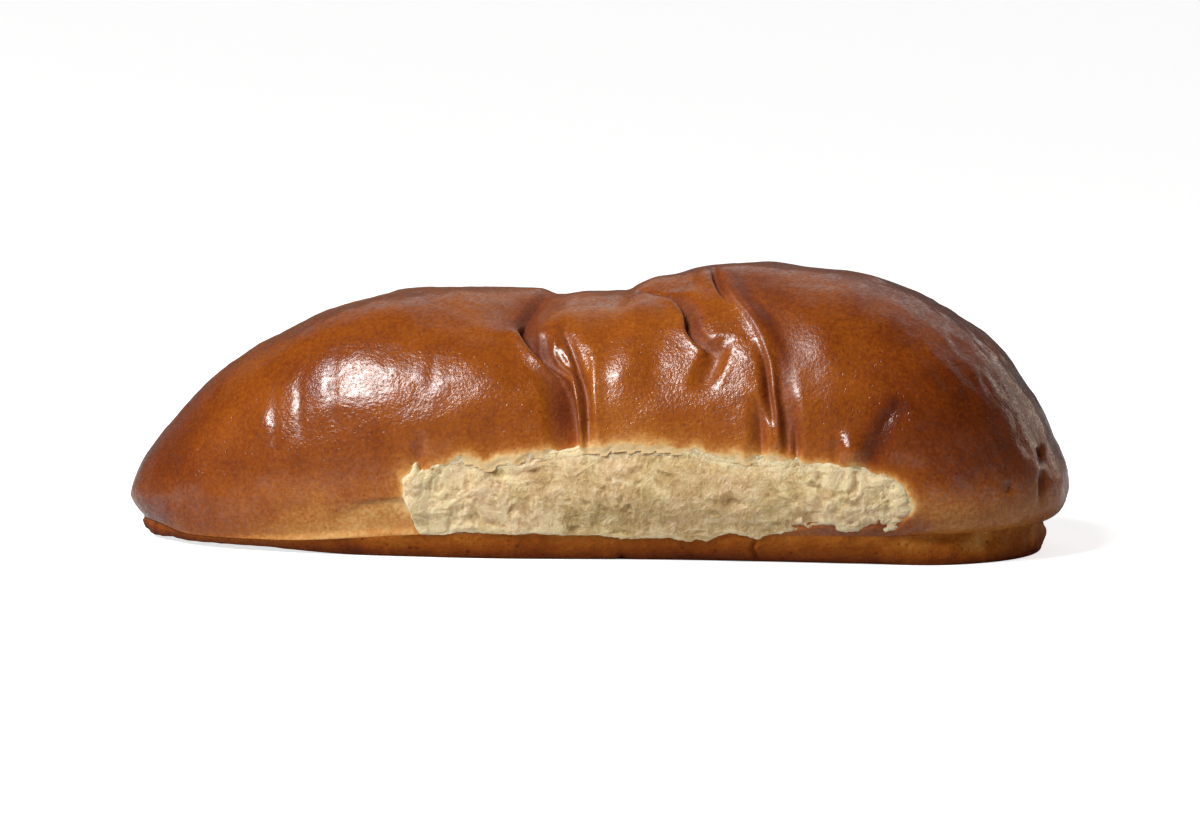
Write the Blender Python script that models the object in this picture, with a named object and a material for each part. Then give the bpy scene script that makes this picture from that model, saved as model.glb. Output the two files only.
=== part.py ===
"""Hot dog bun with a browned crust, two deep creases and a torn side. Sizes are in millimetres until the last step."""
import bpy
import bmesh
import numpy as np

MM = 0.001

# Plan: a straight middle between two rounded ends. The long low end is at -X, the blunt tall end at +X
LEFT_TIP = -77.0
RIGHT_TIP = 76.2
LEFT_SPINE = -29.0
RIGHT_SPINE = 37.0
HALF_WIDTH = 27.0
LEFT_END_POWER = 2.0
RIGHT_END_POWER = 2.35

# Cross-section: powers of the superellipse over the sides and over each tip
SIDE_POWER = 2.3
LEFT_TIP_POWER = 1.54
RIGHT_TIP_POWER = 1.88

# Heights and insets along the length, as (x, millimetres)
CROWN = [(-77, 40.6), (-45, 41.0), (-30, 40.8), (-20, 41.2), (-13, 41.2), (-4, 41.0), (3, 41.5),
         (8, 43.0), (13, 43.9), (19, 45.1), (26, 45.3), (34, 44.1), (45, 43.7), (77, 43.0)]
BULGE = [(-77, 8.5), (-30, 10), (77, 11)]
FOOT_HEIGHT = [(-77, 2.3), (-72, 2.2), (-67, 1.2), (-60, 1.1), (-48, 1.7), (-38, 2.6), (-28, 3.4), (0, 4.0),
               (77, 4.8)]
FOOT_INSET = [(-77, 2.2), (-71, 1.7), (-62, 1.2), (-50, 1.5), (-35, 1.5), (-20, 1.3), (0, 2.0), (12, 2.6),
              (30, 2.6), (48, 2.4), (62, 3.1), (77, 3.9)]
NOSE_LIFT = 0.7
NOSE_LIFT_FROM = -36
NOSE_LIFT_TO = -60

# The foot rolls under along the long lobes and stands upright under a groove at the blunt end
FOOT_ROLL = [(-77, 0.9), (-66, 1.4), (-54, 2.8), (-30, 2.6), (-12, 2.2), (8, 3.4), (24, 3.8), (77, 3.8)]
FOOT_GROOVE = 0.6
WALL_ROUND = 1.4
BLUNT_FROM = 46
BLUNT_TO = 62

# Girth fraction s: 0 at the front foot, 1 on the crown, 2 at the back foot
# Lines of the two deep creases, as (s, x)
LEFT_CREASE = [(0, 0.6), (0.30, 0.6), (0.38, 0.1), (0.445, -0.6), (0.49, -2.0), (0.53, -4.2), (0.57, -6.2),
               (0.63, -8.5), (0.67, -9.6), (0.74, -9.7), (0.82, -9.2), (0.90, -8.5), (1.0, -7.8), (1.3, -6.0),
               (1.6, -4.0), (1.85, 0), (2, 0.6)]
RIGHT_CREASE = [(0, 31.8), (0.30, 31.7), (0.365, 31.3), (0.41, 30.8), (0.45, 30.5), (0.50, 30.0), (0.535, 29.3),
                (0.62, 27.0), (0.668, 25.2), (0.71, 23.4), (0.80, 21.4), (1.0, 19.5), (1.2, 18.8), (1.5, 21.5),
                (1.8, 30.0), (2, 31.8)]

# Torn patches as (x, s) of their lower and upper edges
FRONT_TEAR_TOP = [(-27.6, 0.13), (-27.2, 0.17), (-26.4, 0.21), (-24.6, 0.205), (-22.8, 0.203), (-21, 0.218),
                  (-19.2, 0.246), (-17.4, 0.252), (-16, 0.244), (-11.7, 0.250), (-3, 0.269), (3.9, 0.284),
                  (10, 0.280), (13.5, 0.275), (20, 0.259), (26, 0.244), (34, 0.238), (43, 0.228), (47.4, 0.208),
                  (51.3, 0.174), (52.6, 0.13)]
FRONT_TEAR_LOW = [(-27.6, 0.115), (-27.0, 0.05), (-26, 0.010), (-23.7, 0.012), (-18, 0.018), (-12, 0.010),
                  (-5.7, 0.014), (1, 0.006), (6.9, 0.004), (18, 0.004), (21.3, 0.006), (24.6, 0.022),
                  (28.3, 0.006), (30, 0.012), (33.7, 0.034), (38.4, 0.055), (44, 0.038), (47.6, 0.052),
                  (50.2, 0.038), (51.6, 0.058), (52.6, 0.11)]
BACK_TEAR_TOP = [(-46, 0.11), (-42, 0.19), (-30, 0.235), (-20, 0.25), (-5, 0.262), (8, 0.246), (22, 0.262),
                 (32, 0.24), (38, 0.2), (41, 0.12)]
BACK_TEAR_LOW = [(-46, 0.09), (-42, 0.03), (-30, 0.008), (-14, 0.02), (0, 0.004), (16, 0.02), (27, 0.006),
                 (36, 0.03), (41, 0.09)]
TEAR_RECESS = 0.5
TEAR_ROUGHNESS = 0.35

# Scar left of the front tear, where the skin was pulled off, as (x, s) of its upper edge
SCAR_EDGE = [(-62, 0.0), (-54, 0.035), (-45, 0.055), (-39, 0.08), (-36.0, 0.112), (-30, 0.126), (-24, 0.128)]
SCAR_END = -25.0
SCAR_DEPTH = 0.45

COLUMNS = 150
DOME_ROWS = [0, 0.03, 0.06, 0.10, 0.15, 0.20, 0.25, 0.268, 0.30, 0.34, 0.385, 0.43, 0.475, 0.52, 0.565, 0.61,
             0.655, 0.70, 0.745, 0.79, 0.84, 0.89, 0.94, 0.975, 1.0]
TEAR_LOW_ROW = 0.06
TEAR_TOP_ROW = 0.25
BOTTOM_ROWS = [0, 0.45, 0.82, 1.0]
FOOT_ROWS = [0.82, 0.6, 0.35, 0.12]

# Each crease or ridge: line (s, x), height (s, outward millimetres), width to its left and right
FURROWS = [
    dict(line=LEFT_CREASE, height=[(0.21, 0), (0.26, -1.6), (0.31, -2.4), (0.37, -2.8), (0.43, -2.6), (0.48, -1.8),
                                   (0.52, -0.6), (0.55, 0)],
         left=5.6, right=1.4),
    dict(line=LEFT_CREASE, height=[(0.48, 0), (0.52, -1.4), (0.57, -2.2), (0.63, -2.8), (0.67, -2.4), (0.74, -1.8),
                                   (0.85, -1.5), (0.95, -0.9), (1.05, -0.4), (1.2, -0.3), (1.35, -0.9),
                                   (1.55, -0.7), (1.75, 0)],
         left=1.6, right=3.8),
    dict(line=LEFT_CREASE, offset=-2.0, height=[(0.66, 0), (0.74, -0.7), (0.85, -0.7), (0.95, -0.4), (1.05, 0)],
         left=5.0, right=1.8),
    dict(line=[(0.27, 1.6), (0.385, 1.3), (0.445, 0.6), (0.53, -1.1)], height=[(0.24, 0), (0.30, 0.4), (0.45, 0.6),
                                                                             (0.53, 0)],
         left=1.2, right=1.2),
    dict(line=[(0.27, 2.6), (0.42, 2.0), (0.485, 1.1), (0.565, -0.5), (0.65, -2.4)],
         height=[(0.25, 0), (0.30, -0.4), (0.42, -0.8), (0.53, -0.9), (0.62, -0.5), (0.71, 0)], left=1.4, right=1.4),
    dict(line=[(0.29, 4.2), (0.42, 3.4), (0.545, 2.4), (0.62, 1.0), (0.70, -1.0)],
         height=[(0.26, 0), (0.32, 0.3), (0.42, 0.5), (0.55, 0.5), (0.64, 0.3), (0.72, 0)], left=1.3, right=3.0),
    dict(line=RIGHT_CREASE, offset=1.5, height=[(0.25, 0), (0.275, -0.8), (0.31, -1.3), (0.42, -1.5), (0.70, -1.5),
                                                (0.80, -0.9), (0.88, 0), (1.15, 0), (1.35, -0.8), (1.55, -0.7),
                                                (1.75, 0)],
         left=1.6, right=1.8),
    dict(line=RIGHT_CREASE, height=[(0.27, 0), (0.31, 0.4), (0.5, 0.5), (0.72, 0.8), (0.80, 0.3), (0.86, 0)],
         left=1.3, right=1.3),
    dict(line=RIGHT_CREASE, offset=-1.1, height=[(0.22, 0), (0.26, -0.6), (0.32, -0.9), (0.37, -1.2), (0.42, -1.6),
                                                 (0.47, -1.3), (0.52, -0.6), (0.57, 0), (0.68, 0), (0.74, -0.6),
                                                 (0.80, -1.1), (0.86, -0.9), (0.93, -0.4), (0.99, 0)],
         left=1.8, right=1.3),
    dict(line=RIGHT_CREASE, offset=3.9, height=[(0.30, 0), (0.35, 0.5), (0.45, 0.8), (0.75, 0.8), (0.85, 0.2),
                                                (0.92, 0)],
         left=1.5, right=5.5),
    dict(line=[(0.53, 20.4), (0.56, 18.7), (0.61, 17.0), (0.67, 16.3), (0.72, 15.2), (0.76, 14.0), (0.80, 12.4),
               (0.88, 7.4)],
         height=[(0.51, 0), (0.54, -0.8), (0.58, -1.5), (0.64, -1.8), (0.80, -1.5), (0.86, -0.8), (0.91, 0)],
         left=1.5, right=3.2),
    dict(line=[(0.42, 20.0), (0.49, 21.2), (0.555, 22.2), (0.58, 22.6)],
         height=[(0.41, 0), (0.45, -0.8), (0.49, -1.4), (0.53, -1.2), (0.56, -0.5), (0.58, 0)], left=3.4, right=1.8),
    dict(line=[(0.2, 45.0), (0.30, 46.8), (0.36, 48.2), (0.40, 49.8)],
         height=[(0.18, 0), (0.24, -0.8), (0.34, -1.3), (0.38, -1.2), (0.42, -0.3), (0.44, 0)], left=3.4, right=1.8),
    dict(line=[(0.15, -24.5), (0.32, -24.6)], height=[(0.2, 0), (0.23, -1.0), (0.28, -0.8), (0.33, 0)],
         left=1.8, right=1.8),
    dict(line=[(1.35, -22), (1.7, -24)], height=[(1.3, 0), (1.5, -0.9), (1.72, -0.7), (1.8, 0)], left=2.6, right=3.5),
]

# Round dimples and bumps: x, s, radius in x, radius in s, outward millimetres
DIMPLES = [
    (-12.0, 0.83, 6.5, 0.13, -1.3),
    (11.5, 0.86, 4.5, 0.10, -1.3),
    (-31.0, 1.0, 5.0, 0.35, -0.45),
    (42.9, 0.27, 1.9, 0.04, 1.0),
    (52.0, 0.235, 3.0, 0.035, -0.35),
    (30.0, 0.55, 9.0, 0.30, 0.5),
    (8.0, 1.35, 9.0, 0.25, -0.8),
    (-40.0, 1.5, 9.0, 0.25, 0.6),
]

# Dents in the ends: place and reach, outward millimetres
END_DENTS = [((72.5, -12.0, 16.0), (2.0, 2.0, 6.5), -0.9), ((70.0, -15.0, 10.0), (2.5, 1.6, 4.0), -0.6),
             ((73.0, 9.0, 20.0), (3.0, 3.0, 8.0), -1.0), ((-70.0, 8.0, 16.0), (4.0, 2.5, 6.0), -0.7),
             ((-71.0, -2.0, 20.0), (8.0, 14.0, 8.0), -0.6), ((71.0, 1.0, 27.0), (7.0, 15.0, 7.5), -1.7),
             ((60.0, 0.0, 38.0), (9.0, 15.0, 6.0), -0.6), ((-58.0, 0.0, 28.0), (12.0, 16.0, 8.0), -0.6)]

CRUST_COLOUR = (0.31, 0.105, 0.022, 1)


def smooth(start, end, x):
    """0 at the start, 1 at the end, level at both."""
    t = np.clip((x - start) / (end - start), 0, 1)
    return t * t * (3 - 2 * t)


def curve(x, knots):
    """Smooth curve through (x, y) knots, level outside them."""
    table = np.asarray(knots, float)
    kx = table[:, 0]
    ky = table[:, 1]
    slope = np.gradient(ky, kx)
    x = np.clip(x, kx[0], kx[-1])
    i = np.clip(np.searchsorted(kx, x) - 1, 0, len(kx) - 2)
    h = kx[i + 1] - kx[i]
    t = (x - kx[i]) / h
    start = (1 + 2 * t) * (1 - t) ** 2 * ky[i] + t * (1 - t) ** 2 * h * slope[i]
    return start + t * t * (3 - 2 * t) * ky[i + 1] + t * t * (t - 1) * h * slope[i + 1]


def noise(points, size, seed):
    """Smooth noise from -1 to 1 with lumps of the given size."""
    q = points / size + seed * 17.31
    cell = np.floor(q).astype(np.int64)
    t = q - cell
    t = t * t * (3 - 2 * t)
    total = np.zeros(len(points))
    for corner in np.ndindex(2, 2, 2):
        n = cell + np.array(corner)
        h = (n[:, 0] * 374761393 + n[:, 1] * 668265263 + n[:, 2] * 1103515245 + seed * 974711) & 0xFFFFFFFF
        h = ((h ^ (h >> 13)) * 1274126177) & 0xFFFFFFFF
        value = ((h ^ (h >> 16)) & 0xFFFF) / 32767.5 - 1
        total += value * np.prod(np.where(corner, t, 1 - t), axis=1)
    return total


def plan_ring():
    """Widest outline: the front from the left tip to the right tip, then the back, closer where the creases are."""
    count = 4000
    a = np.linspace(0, np.pi / 2, count)
    left_x = LEFT_SPINE + (LEFT_TIP - LEFT_SPINE) * np.cos(a) ** (2 / LEFT_END_POWER)
    left_y = -HALF_WIDTH * np.sin(a) ** (2 / LEFT_END_POWER)
    right_x = RIGHT_SPINE + (RIGHT_TIP - RIGHT_SPINE) * np.cos(a) ** (2 / RIGHT_END_POWER)
    right_y = -HALF_WIDTH * np.sin(a) ** (2 / RIGHT_END_POWER)
    middle_x = np.linspace(LEFT_SPINE, RIGHT_SPINE, count)
    fine_x = np.concatenate([left_x, middle_x[1:-1], right_x[::-1]])
    fine_y = np.concatenate([left_y, np.full(count - 2, -HALF_WIDTH), right_y[::-1]])
    mid = (fine_x[1:] + fine_x[:-1]) / 2
    weight = 1 + 1.2 * smooth(-14, -6, mid) * smooth(12, 7, mid) + 1.2 * smooth(18, 24, mid) * smooth(42, 36, mid)
    weight = weight + 0.7 * smooth(48, 70, np.abs(mid))
    length = np.concatenate([[0], np.cumsum(np.hypot(np.diff(fine_x), np.diff(fine_y)) * weight)])
    steps = np.linspace(0, length[-1], COLUMNS // 2 + 1)
    x = np.interp(steps, length, fine_x)
    y = np.interp(steps, length, fine_y)
    return np.concatenate([x, x[-2:0:-1]]), np.concatenate([y, -y[-2:0:-1]])


def follow_creases(x, s):
    """Slides the straight part's columns so that two of them run along the deep creases."""
    left = curve(s, LEFT_CREASE)
    right = curve(s, RIGHT_CREASE)
    a = LEFT_CREASE[1][1]
    b = RIGHT_CREASE[1][1]
    first = LEFT_SPINE + (x - LEFT_SPINE) * (left - LEFT_SPINE) / (a - LEFT_SPINE)
    second = left + (x - a) * (right - left) / (b - a)
    third = right + (x - b) * (RIGHT_SPINE - right) / (RIGHT_SPINE - b)
    inside = np.where(x < a, first, np.where(x < b, second, third))
    return np.where((x > LEFT_SPINE) & (x < RIGHT_SPINE), inside, x)


def section_angle(share):
    """Angle on the section, from -90 degrees at the foot to 90 on the crown, at a share of its girth."""
    a = np.linspace(-np.pi / 2, np.pi / 2, 2001)
    up = np.clip(a, 0, None)
    low = np.clip(a, None, 0)
    out = HALF_WIDTH * np.cos(up) ** (2 / SIDE_POWER) - 3.0 * (1 - np.cos(low))
    height = np.where(a > 0, 30.5 * np.sin(up) ** (2 / SIDE_POWER), 6.2 * np.sin(low))
    girth = np.concatenate([[0], np.cumsum(np.hypot(np.diff(out), np.diff(height)))])
    return np.interp(share * girth[-1], girth, a)


def tear_edges(x, front):
    """Lower and upper edge of the torn patch as girth shares, and 1 within its length."""
    top = FRONT_TEAR_TOP if front else BACK_TEAR_TOP
    low = FRONT_TEAR_LOW if front else BACK_TEAR_LOW
    inside = (x > top[0][0]) & (x < top[-1][0])
    plain = np.minimum(np.abs(x - top[0][0]), np.abs(x - top[-1][0])) / 14
    away = np.where(inside, 0, np.clip(plain, 0, 1))
    upper = np.where(inside, curve(x, top), curve(x, top) * (1 - away) + TEAR_TOP_ROW * away)
    lower = np.where(inside, curve(x, low), curve(x, low) * (1 - away) + TEAR_LOW_ROW * away)
    return lower, upper, inside.astype(float)


def surface_rows():
    """Positions of all rows from the middle of the base to the crown, with each point's (x, s) and tear amounts."""
    ring_x, ring_y = plan_ring()
    front = ring_y <= 0
    spine = np.clip(ring_x, LEFT_SPINE, RIGHT_SPINE)
    reach = np.hypot(ring_x - spine, ring_y)
    out_x = (ring_x - spine) / reach
    out_y = ring_y / reach
    beyond = np.where(ring_x < LEFT_SPINE, (LEFT_SPINE - ring_x) / (LEFT_SPINE - LEFT_TIP),
                      np.clip((ring_x - RIGHT_SPINE) / (RIGHT_TIP - RIGHT_SPINE), 0, 1))
    tip_power = np.where(ring_x < 0, LEFT_TIP_POWER, RIGHT_TIP_POWER)
    power = SIDE_POWER + (tip_power - SIDE_POWER) * smooth(0, 1, beyond)
    foot = curve(ring_x, FOOT_HEIGHT)
    inset = curve(ring_x, FOOT_INSET)
    bulge = curve(ring_x, BULGE)
    lift = NOSE_LIFT * smooth(NOSE_LIFT_FROM, NOSE_LIFT_TO, ring_x)
    blunt = smooth(BLUNT_FROM, BLUNT_TO, ring_x)
    groove = FOOT_GROOVE * blunt
    low_f, top_f, in_f = tear_edges(ring_x, True)
    low_b, top_b, in_b = tear_edges(ring_x, False)
    low = np.where(front, low_f, low_b)
    top = np.where(front, top_f, top_b)
    torn = np.where(front, in_f, in_b)
    rows = []
    edge = reach - inset

    def add(out, height, share, tear, lipped):
        s = np.where(front, share, 2 - share)
        straight = (ring_x > LEFT_SPINE) & (ring_x < RIGHT_SPINE)
        x = np.where(straight, follow_creases(ring_x, s), spine + out_x * out)
        z = height(x) + lift * np.clip(1 - height(x) / bulge, 0, 1)
        rows.append((np.stack([x, out_y * out, z], -1), s, tear, lipped))

    none = np.zeros(len(ring_x))
    roll = curve(ring_x, FOOT_ROLL)
    base_edge = edge - roll * (1 - blunt) - WALL_ROUND * blunt
    for share in BOTTOM_ROWS:
        add(base_edge * share, lambda x: none, none, none, none)
    for k in FOOT_ROWS:
        a = np.pi / 4 * (1 + k)
        rolled = roll * (1 - np.cos(a) / np.cos(np.pi / 4))
        fall = (np.sin(a) - np.sin(np.pi / 4)) / (1 - np.sin(np.pi / 4))
        w = np.pi / 2 * k
        wall = WALL_ROUND * (1 - np.cos(w) ** 0.5)
        z = (foot + 0.3) * (1 - fall * (1 - blunt) - np.sin(w) ** 0.5 * blunt)
        add(edge - rolled * (1 - blunt) - wall * blunt, lambda x, z=z: z, none, none, none)
    for row in DOME_ROWS:
        share = np.where(row < TEAR_LOW_ROW, low * row / TEAR_LOW_ROW,
                         np.where(row < TEAR_TOP_ROW,
                                  low + (top - low) * (row - TEAR_LOW_ROW) / (TEAR_TOP_ROW - TEAR_LOW_ROW),
                                  top + (1 - top) * (row - TEAR_TOP_ROW) / (1 - TEAR_TOP_ROW)))
        angle = section_angle(share)
        up = np.clip(angle, 0, None)
        down = np.clip(angle, None, 0)
        under = blunt * (inset + groove) * (1 - np.cos(down)) + (1 - blunt) * inset * np.abs(np.sin(down)) ** 1.4
        out = reach * np.cos(up) ** (2 / power) - under
        rise = np.sin(up) ** (2 / power)
        fall = (bulge - foot - 0.3) * np.sin(down)

        def height(x, rise=rise, fall=fall, over=angle > 0):
            return np.where(over, bulge + (curve(x, CROWN) - bulge) * rise, bulge + fall)

        depth = np.clip((row - TEAR_LOW_ROW) / (TEAR_TOP_ROW - TEAR_LOW_ROW), 0, 1)
        inside = TEAR_LOW_ROW * 0.4 < row <= TEAR_TOP_ROW
        add(out, height, share, torn * depth * inside, torn * (row > TEAR_TOP_ROW) * np.exp(-(share - top) / 0.05))
    return rows


def relief(place, s, tear, lipped):
    """Outward millimetres of the crust's lumps, creases, dimples and torn patches."""
    x = place[:, 0]
    z = place[:, 2]
    crust = smooth(4.5, 8, z)
    out = crust * (0.65 * noise(place, 19.0, 3) + 0.28 * noise(place, 8.5, 5) + 0.12 * noise(place, 4.2, 7))
    mid = smooth(-2, 3, x - curve(s, LEFT_CREASE)) * smooth(4, -1, x - curve(s, RIGHT_CREASE))
    out -= 0.8 * mid * smooth(0.25, 0.5, s) * smooth(1.0, 0.8, s)
    for f in FURROWS:
        gap = x - curve(s, f["line"]) - f.get("offset", 0)
        width = np.where(gap < 0, f["left"], f["right"])
        out += curve(s, f["height"]) * smooth(1, 0, np.abs(gap) / width)
    for cx, cs, rx, rs, high in DIMPLES:
        out += high * np.exp(-((x - cx) / rx) ** 2 - ((s - cs) / rs) ** 2)
    for centre, radius, high in END_DENTS:
        out += high * np.exp(-(((place - np.array(centre)) / np.array(radius)) ** 2).sum(1))
    out += 0.15 * lipped
    scar = smooth(0.01, -0.01, s - curve(x, SCAR_EDGE)) * smooth(SCAR_END + 0.5, SCAR_END - 0.5, x) * (place[:, 1] < 0)
    out -= SCAR_DEPTH * scar
    stretched = place * np.array([0.6, 1, 1.2])
    rough = TEAR_ROUGHNESS * (noise(stretched, 3.2, 11) + 0.6 * noise(stretched, 1.7, 13))
    return out + np.where(tear > 0, -TEAR_RECESS * tear + rough, 0)


def build_bun():
    rows = surface_rows()
    columns = len(rows[0][0])
    place = np.concatenate([r[0] for r in rows])
    s = np.concatenate([r[1] for r in rows])
    tear = np.concatenate([r[2] for r in rows])
    lipped = np.concatenate([r[3] for r in rows])
    mesh = bpy.data.meshes.new("bun")
    work = bmesh.new()
    keep = work.verts.layers.float.new("row")
    points = [work.verts.new(p) for p in place]
    for i, point in enumerate(points):
        point[keep] = i
    for r in range(len(rows) - 1):
        for c in range(columns):
            n = (c + 1) % columns
            work.faces.new([points[r * columns + c], points[r * columns + n],
                            points[(r + 1) * columns + n], points[(r + 1) * columns + c]])
    bmesh.ops.remove_doubles(work, verts=work.verts, dist=0.002)
    bmesh.ops.dissolve_degenerate(work, edges=work.edges, dist=0.001)
    bmesh.ops.recalc_face_normals(work, faces=work.faces)
    work.normal_update()
    work.verts.ensure_lookup_table()
    index = np.array([int(round(v[keep])) for v in work.verts])
    base = np.array([v.co for v in work.verts])
    normal = np.array([v.normal for v in work.verts])
    out = relief(base, s[index], tear[index], lipped[index])
    ring_x = plan_ring()[0]
    above = smooth(0.0, 1.2, base[:, 2] - curve(ring_x[index % columns], FOOT_HEIGHT) - 0.3)
    moved = base + normal * (out * above)[:, None]
    moved[:, 2] = np.where(base[:, 2] < 1e-6, 0, np.maximum(moved[:, 2], 0.02))
    centre = (moved.min(0) + moved.max(0)) / 2
    moved -= np.array([centre[0], centre[1], moved[:, 2].min()])
    for v, p in zip(work.verts, moved * MM):
        v.co = p
    bmesh.ops.triangulate(work, faces=work.faces)
    work.to_mesh(mesh)
    work.free()
    return mesh, centre


def crust_material():
    material = bpy.data.materials.new("crust")
    material.use_nodes = True
    shader = material.node_tree.nodes["Principled BSDF"]
    shader.inputs["Base Color"].default_value = CRUST_COLOUR
    shader.inputs["Roughness"].default_value = 0.35
    return material


def main():
    for thing in list(bpy.data.objects):
        bpy.data.objects.remove(thing, do_unlink=True)
    mesh, centre = build_bun()
    bun = bpy.data.objects.new("bun", mesh)
    bpy.context.scene.collection.objects.link(bun)
    mesh.materials.append(crust_material())
    for face in mesh.polygons:
        face.use_smooth = True
    size = np.array(bun.bound_box)
    print("bun", len(mesh.polygons), "triangles", (size.max(0) - size.min(0)) / MM, "centre", centre)


main()
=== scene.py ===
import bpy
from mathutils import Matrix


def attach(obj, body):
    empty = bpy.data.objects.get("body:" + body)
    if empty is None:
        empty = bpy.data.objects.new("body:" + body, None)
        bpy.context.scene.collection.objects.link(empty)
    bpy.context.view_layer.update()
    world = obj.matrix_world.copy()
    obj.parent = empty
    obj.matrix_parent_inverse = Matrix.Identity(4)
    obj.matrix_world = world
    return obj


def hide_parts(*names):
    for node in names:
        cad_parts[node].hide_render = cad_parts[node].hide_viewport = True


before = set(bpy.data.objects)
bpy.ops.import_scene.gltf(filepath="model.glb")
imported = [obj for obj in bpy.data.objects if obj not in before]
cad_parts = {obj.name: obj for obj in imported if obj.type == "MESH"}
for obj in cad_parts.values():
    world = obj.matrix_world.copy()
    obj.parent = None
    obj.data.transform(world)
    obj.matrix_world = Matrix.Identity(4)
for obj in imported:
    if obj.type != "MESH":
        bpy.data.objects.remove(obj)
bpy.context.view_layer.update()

import math
import bpy
import numpy as np
from mathutils import Vector

# A hot dog bun. Shapes are worked out in millimetres and put into the meshes in metres
mm = 0.001

bunForm = {
    "leftTip": -77.7, "rightTip": 76.2,  # plan: ends of the bun
    "leftSpine": -29.0, "rightSpine": 37.0, "halfWidth": 26.8,  # plan: the straight middle
    "leftEndPower": 2.0, "rightEndPower": 2.35,  # of the plan's superellipses
    "sidePower": 2.3, "leftTipPower": 1.54, "rightTipPower": 1.88,  # of the sections' superellipses
    "crown": [(-77, 40.6), (-45, 41.0), (-30, 40.8), (-20, 41.2), (-13, 41.2), (-4, 41.0), (3, 41.1),
              (4.7, 41.2), (6.4, 42.2), (8, 43.0), (13, 43.9), (19, 45.1), (26, 45.3), (34, 44.1), (45, 43.7),
              (77, 43.0)],
    "bulge": [(-77, 6.4), (-68, 7.8), (-50, 9.2), (-30, 10), (77, 11)],  # height of the widest place
    "footHeight": [(-77, 2.3), (-72, 2.2), (-67, 1.2), (-60, 1.1), (-48, 1.7), (-38, 2.6), (-28, 3.4),
                   (0, 4.0), (77, 4.8)],
    "footInset": [(-77, 2.2), (-71, 1.7), (-62, 1.2), (-50, 1.5), (-35, 1.5), (-20, 1.3), (0, 2.0),
                  (12, 2.6), (30, 2.6), (48, 2.4), (62, 3.1), (77, 3.9)],
    "footRoll": [(-77, 0.9), (-66, 1.4), (-54, 2.8), (-30, 2.6), (-12, 2.2), (8, 3.4), (24, 3.8), (77, 3.8)],
    "footLap": 0.3,  # how far the foot goes up under the dome
    "blunt": (46, 62), "groove": 0.6,  # where the foot turns upright, and its groove there
    "undercutPower": 1.4, "footFace": (0.4, 0.92),  # the foot's face: out and up for each mm
    "noseLift": 0.7, "noseLiftOver": (-36, -60),
    "usualSection": (30.5, 6.2, 3.0),  # rise, drop and undercut of the section that spaces the rows
    "boxCentre": (-0.526, 0.025),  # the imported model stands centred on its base
    "girth": 53.0,  # from the foot to the crown over the skin
}

# The two deep creases, as (s, x): s is 0 at the front foot, 1 on the crown and 2 at the back foot
leftCrease = [(0, 0.6), (0.30, 0.6), (0.38, 0.1), (0.445, -0.6), (0.49, -2.0), (0.53, -4.2), (0.57, -6.2),
              (0.63, -8.5), (0.67, -9.6), (0.74, -9.7), (0.82, -9.2), (0.90, -8.5), (1.0, -7.8), (1.3, -6.0),
              (1.6, -4.0), (1.85, 0), (2, 0.6)]
rightCrease = [(0, 31.8), (0.30, 31.7), (0.365, 31.3), (0.41, 30.8), (0.45, 30.5), (0.50, 30.0),
               (0.535, 29.3), (0.62, 27.0), (0.668, 25.2), (0.71, 23.4), (0.80, 21.4), (1.0, 19.5),
               (1.2, 18.8), (1.5, 21.5), (1.8, 30.0), (2, 31.8)]


def smooth(start, end, x):
    # 0 at the start and 1 at the end, level at both: 3t^2 - 2t^3
    t = np.clip((x - start) / (end - start), 0, 1)
    return t * t * (3 - 2 * t)


def between(x, rise, fall):
    # 1 between two smooth steps, each given as (start, end)
    return smooth(*rise, x) * smooth(*fall, x)


def bell(*shares):
    # 1 where all the shares are 0, falling off round it: e to the minus sum of their squares
    return np.exp(-sum(share ** 2 for share in shares))


def curve(x, knots):
    # cubic Hermite curve through (x, y) knots, level outside them
    table = np.asarray(knots, float)
    kx, ky = table[:, 0], table[:, 1]
    slope = np.gradient(ky, kx)
    x = np.clip(x, kx[0], kx[-1])
    i = np.clip(np.searchsorted(kx, x) - 1, 0, len(kx) - 2)
    h = kx[i + 1] - kx[i]
    t = (x - kx[i]) / h
    start = (1 + 2 * t) * (1 - t) ** 2 * ky[i] + t * (1 - t) ** 2 * h * slope[i]
    return start + t * t * (3 - 2 * t) * ky[i + 1] + t * t * (t - 1) * h * slope[i + 1]


def cellHash(n, seed):
    # one whole number from 0 to 2^32 for each whole-numbered cell, by multiplying and shifting
    h = (n[..., 0] * 374761393 + n[..., 1] * 668265263 + n[..., 2] * 1103515245 + seed * 974711) & 0xFFFFFFFF
    h = ((h ^ (h >> 13)) * 1274126177) & 0xFFFFFFFF
    return h ^ (h >> 16)


def cellShare(n, seed):
    # the same as a value from 0 to 1
    return (cellHash(n, seed) & 0xFFFF) / 65535.0


def noise(points, size, seed):
    # smooth lumps from -1 to 1: a value for each cell corner, blended by 3t^2 - 2t^3 along each axis
    q = points / size + seed * 17.31
    cell = np.floor(q).astype(np.int64)
    t = smooth(0, 1, q - cell)
    total = np.zeros(len(points))
    for corner in np.ndindex(2, 2, 2):
        value = cellShare(cell + np.array(corner), seed) * 2 - 1
        total += value * np.prod(np.where(corner, t, 1 - t), axis=1)
    return total


def lumps(points, sizes, seed=0):
    # sum of noises, each with its size, height and own seed
    return sum(height * noise(points, size, own + seed) for size, height, own in sizes)


def along(u, sizes, seed):
    # such a sum along one line
    flat = np.zeros((len(u), 3))
    flat[:, 0] = u
    return lumps(flat, sizes, seed)


def ridges(points, size, seed):
    # 1 along thin crests and less between them: one less the absolute noise
    return 1 - np.abs(noise(points, size, seed)) * 1.6


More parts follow.
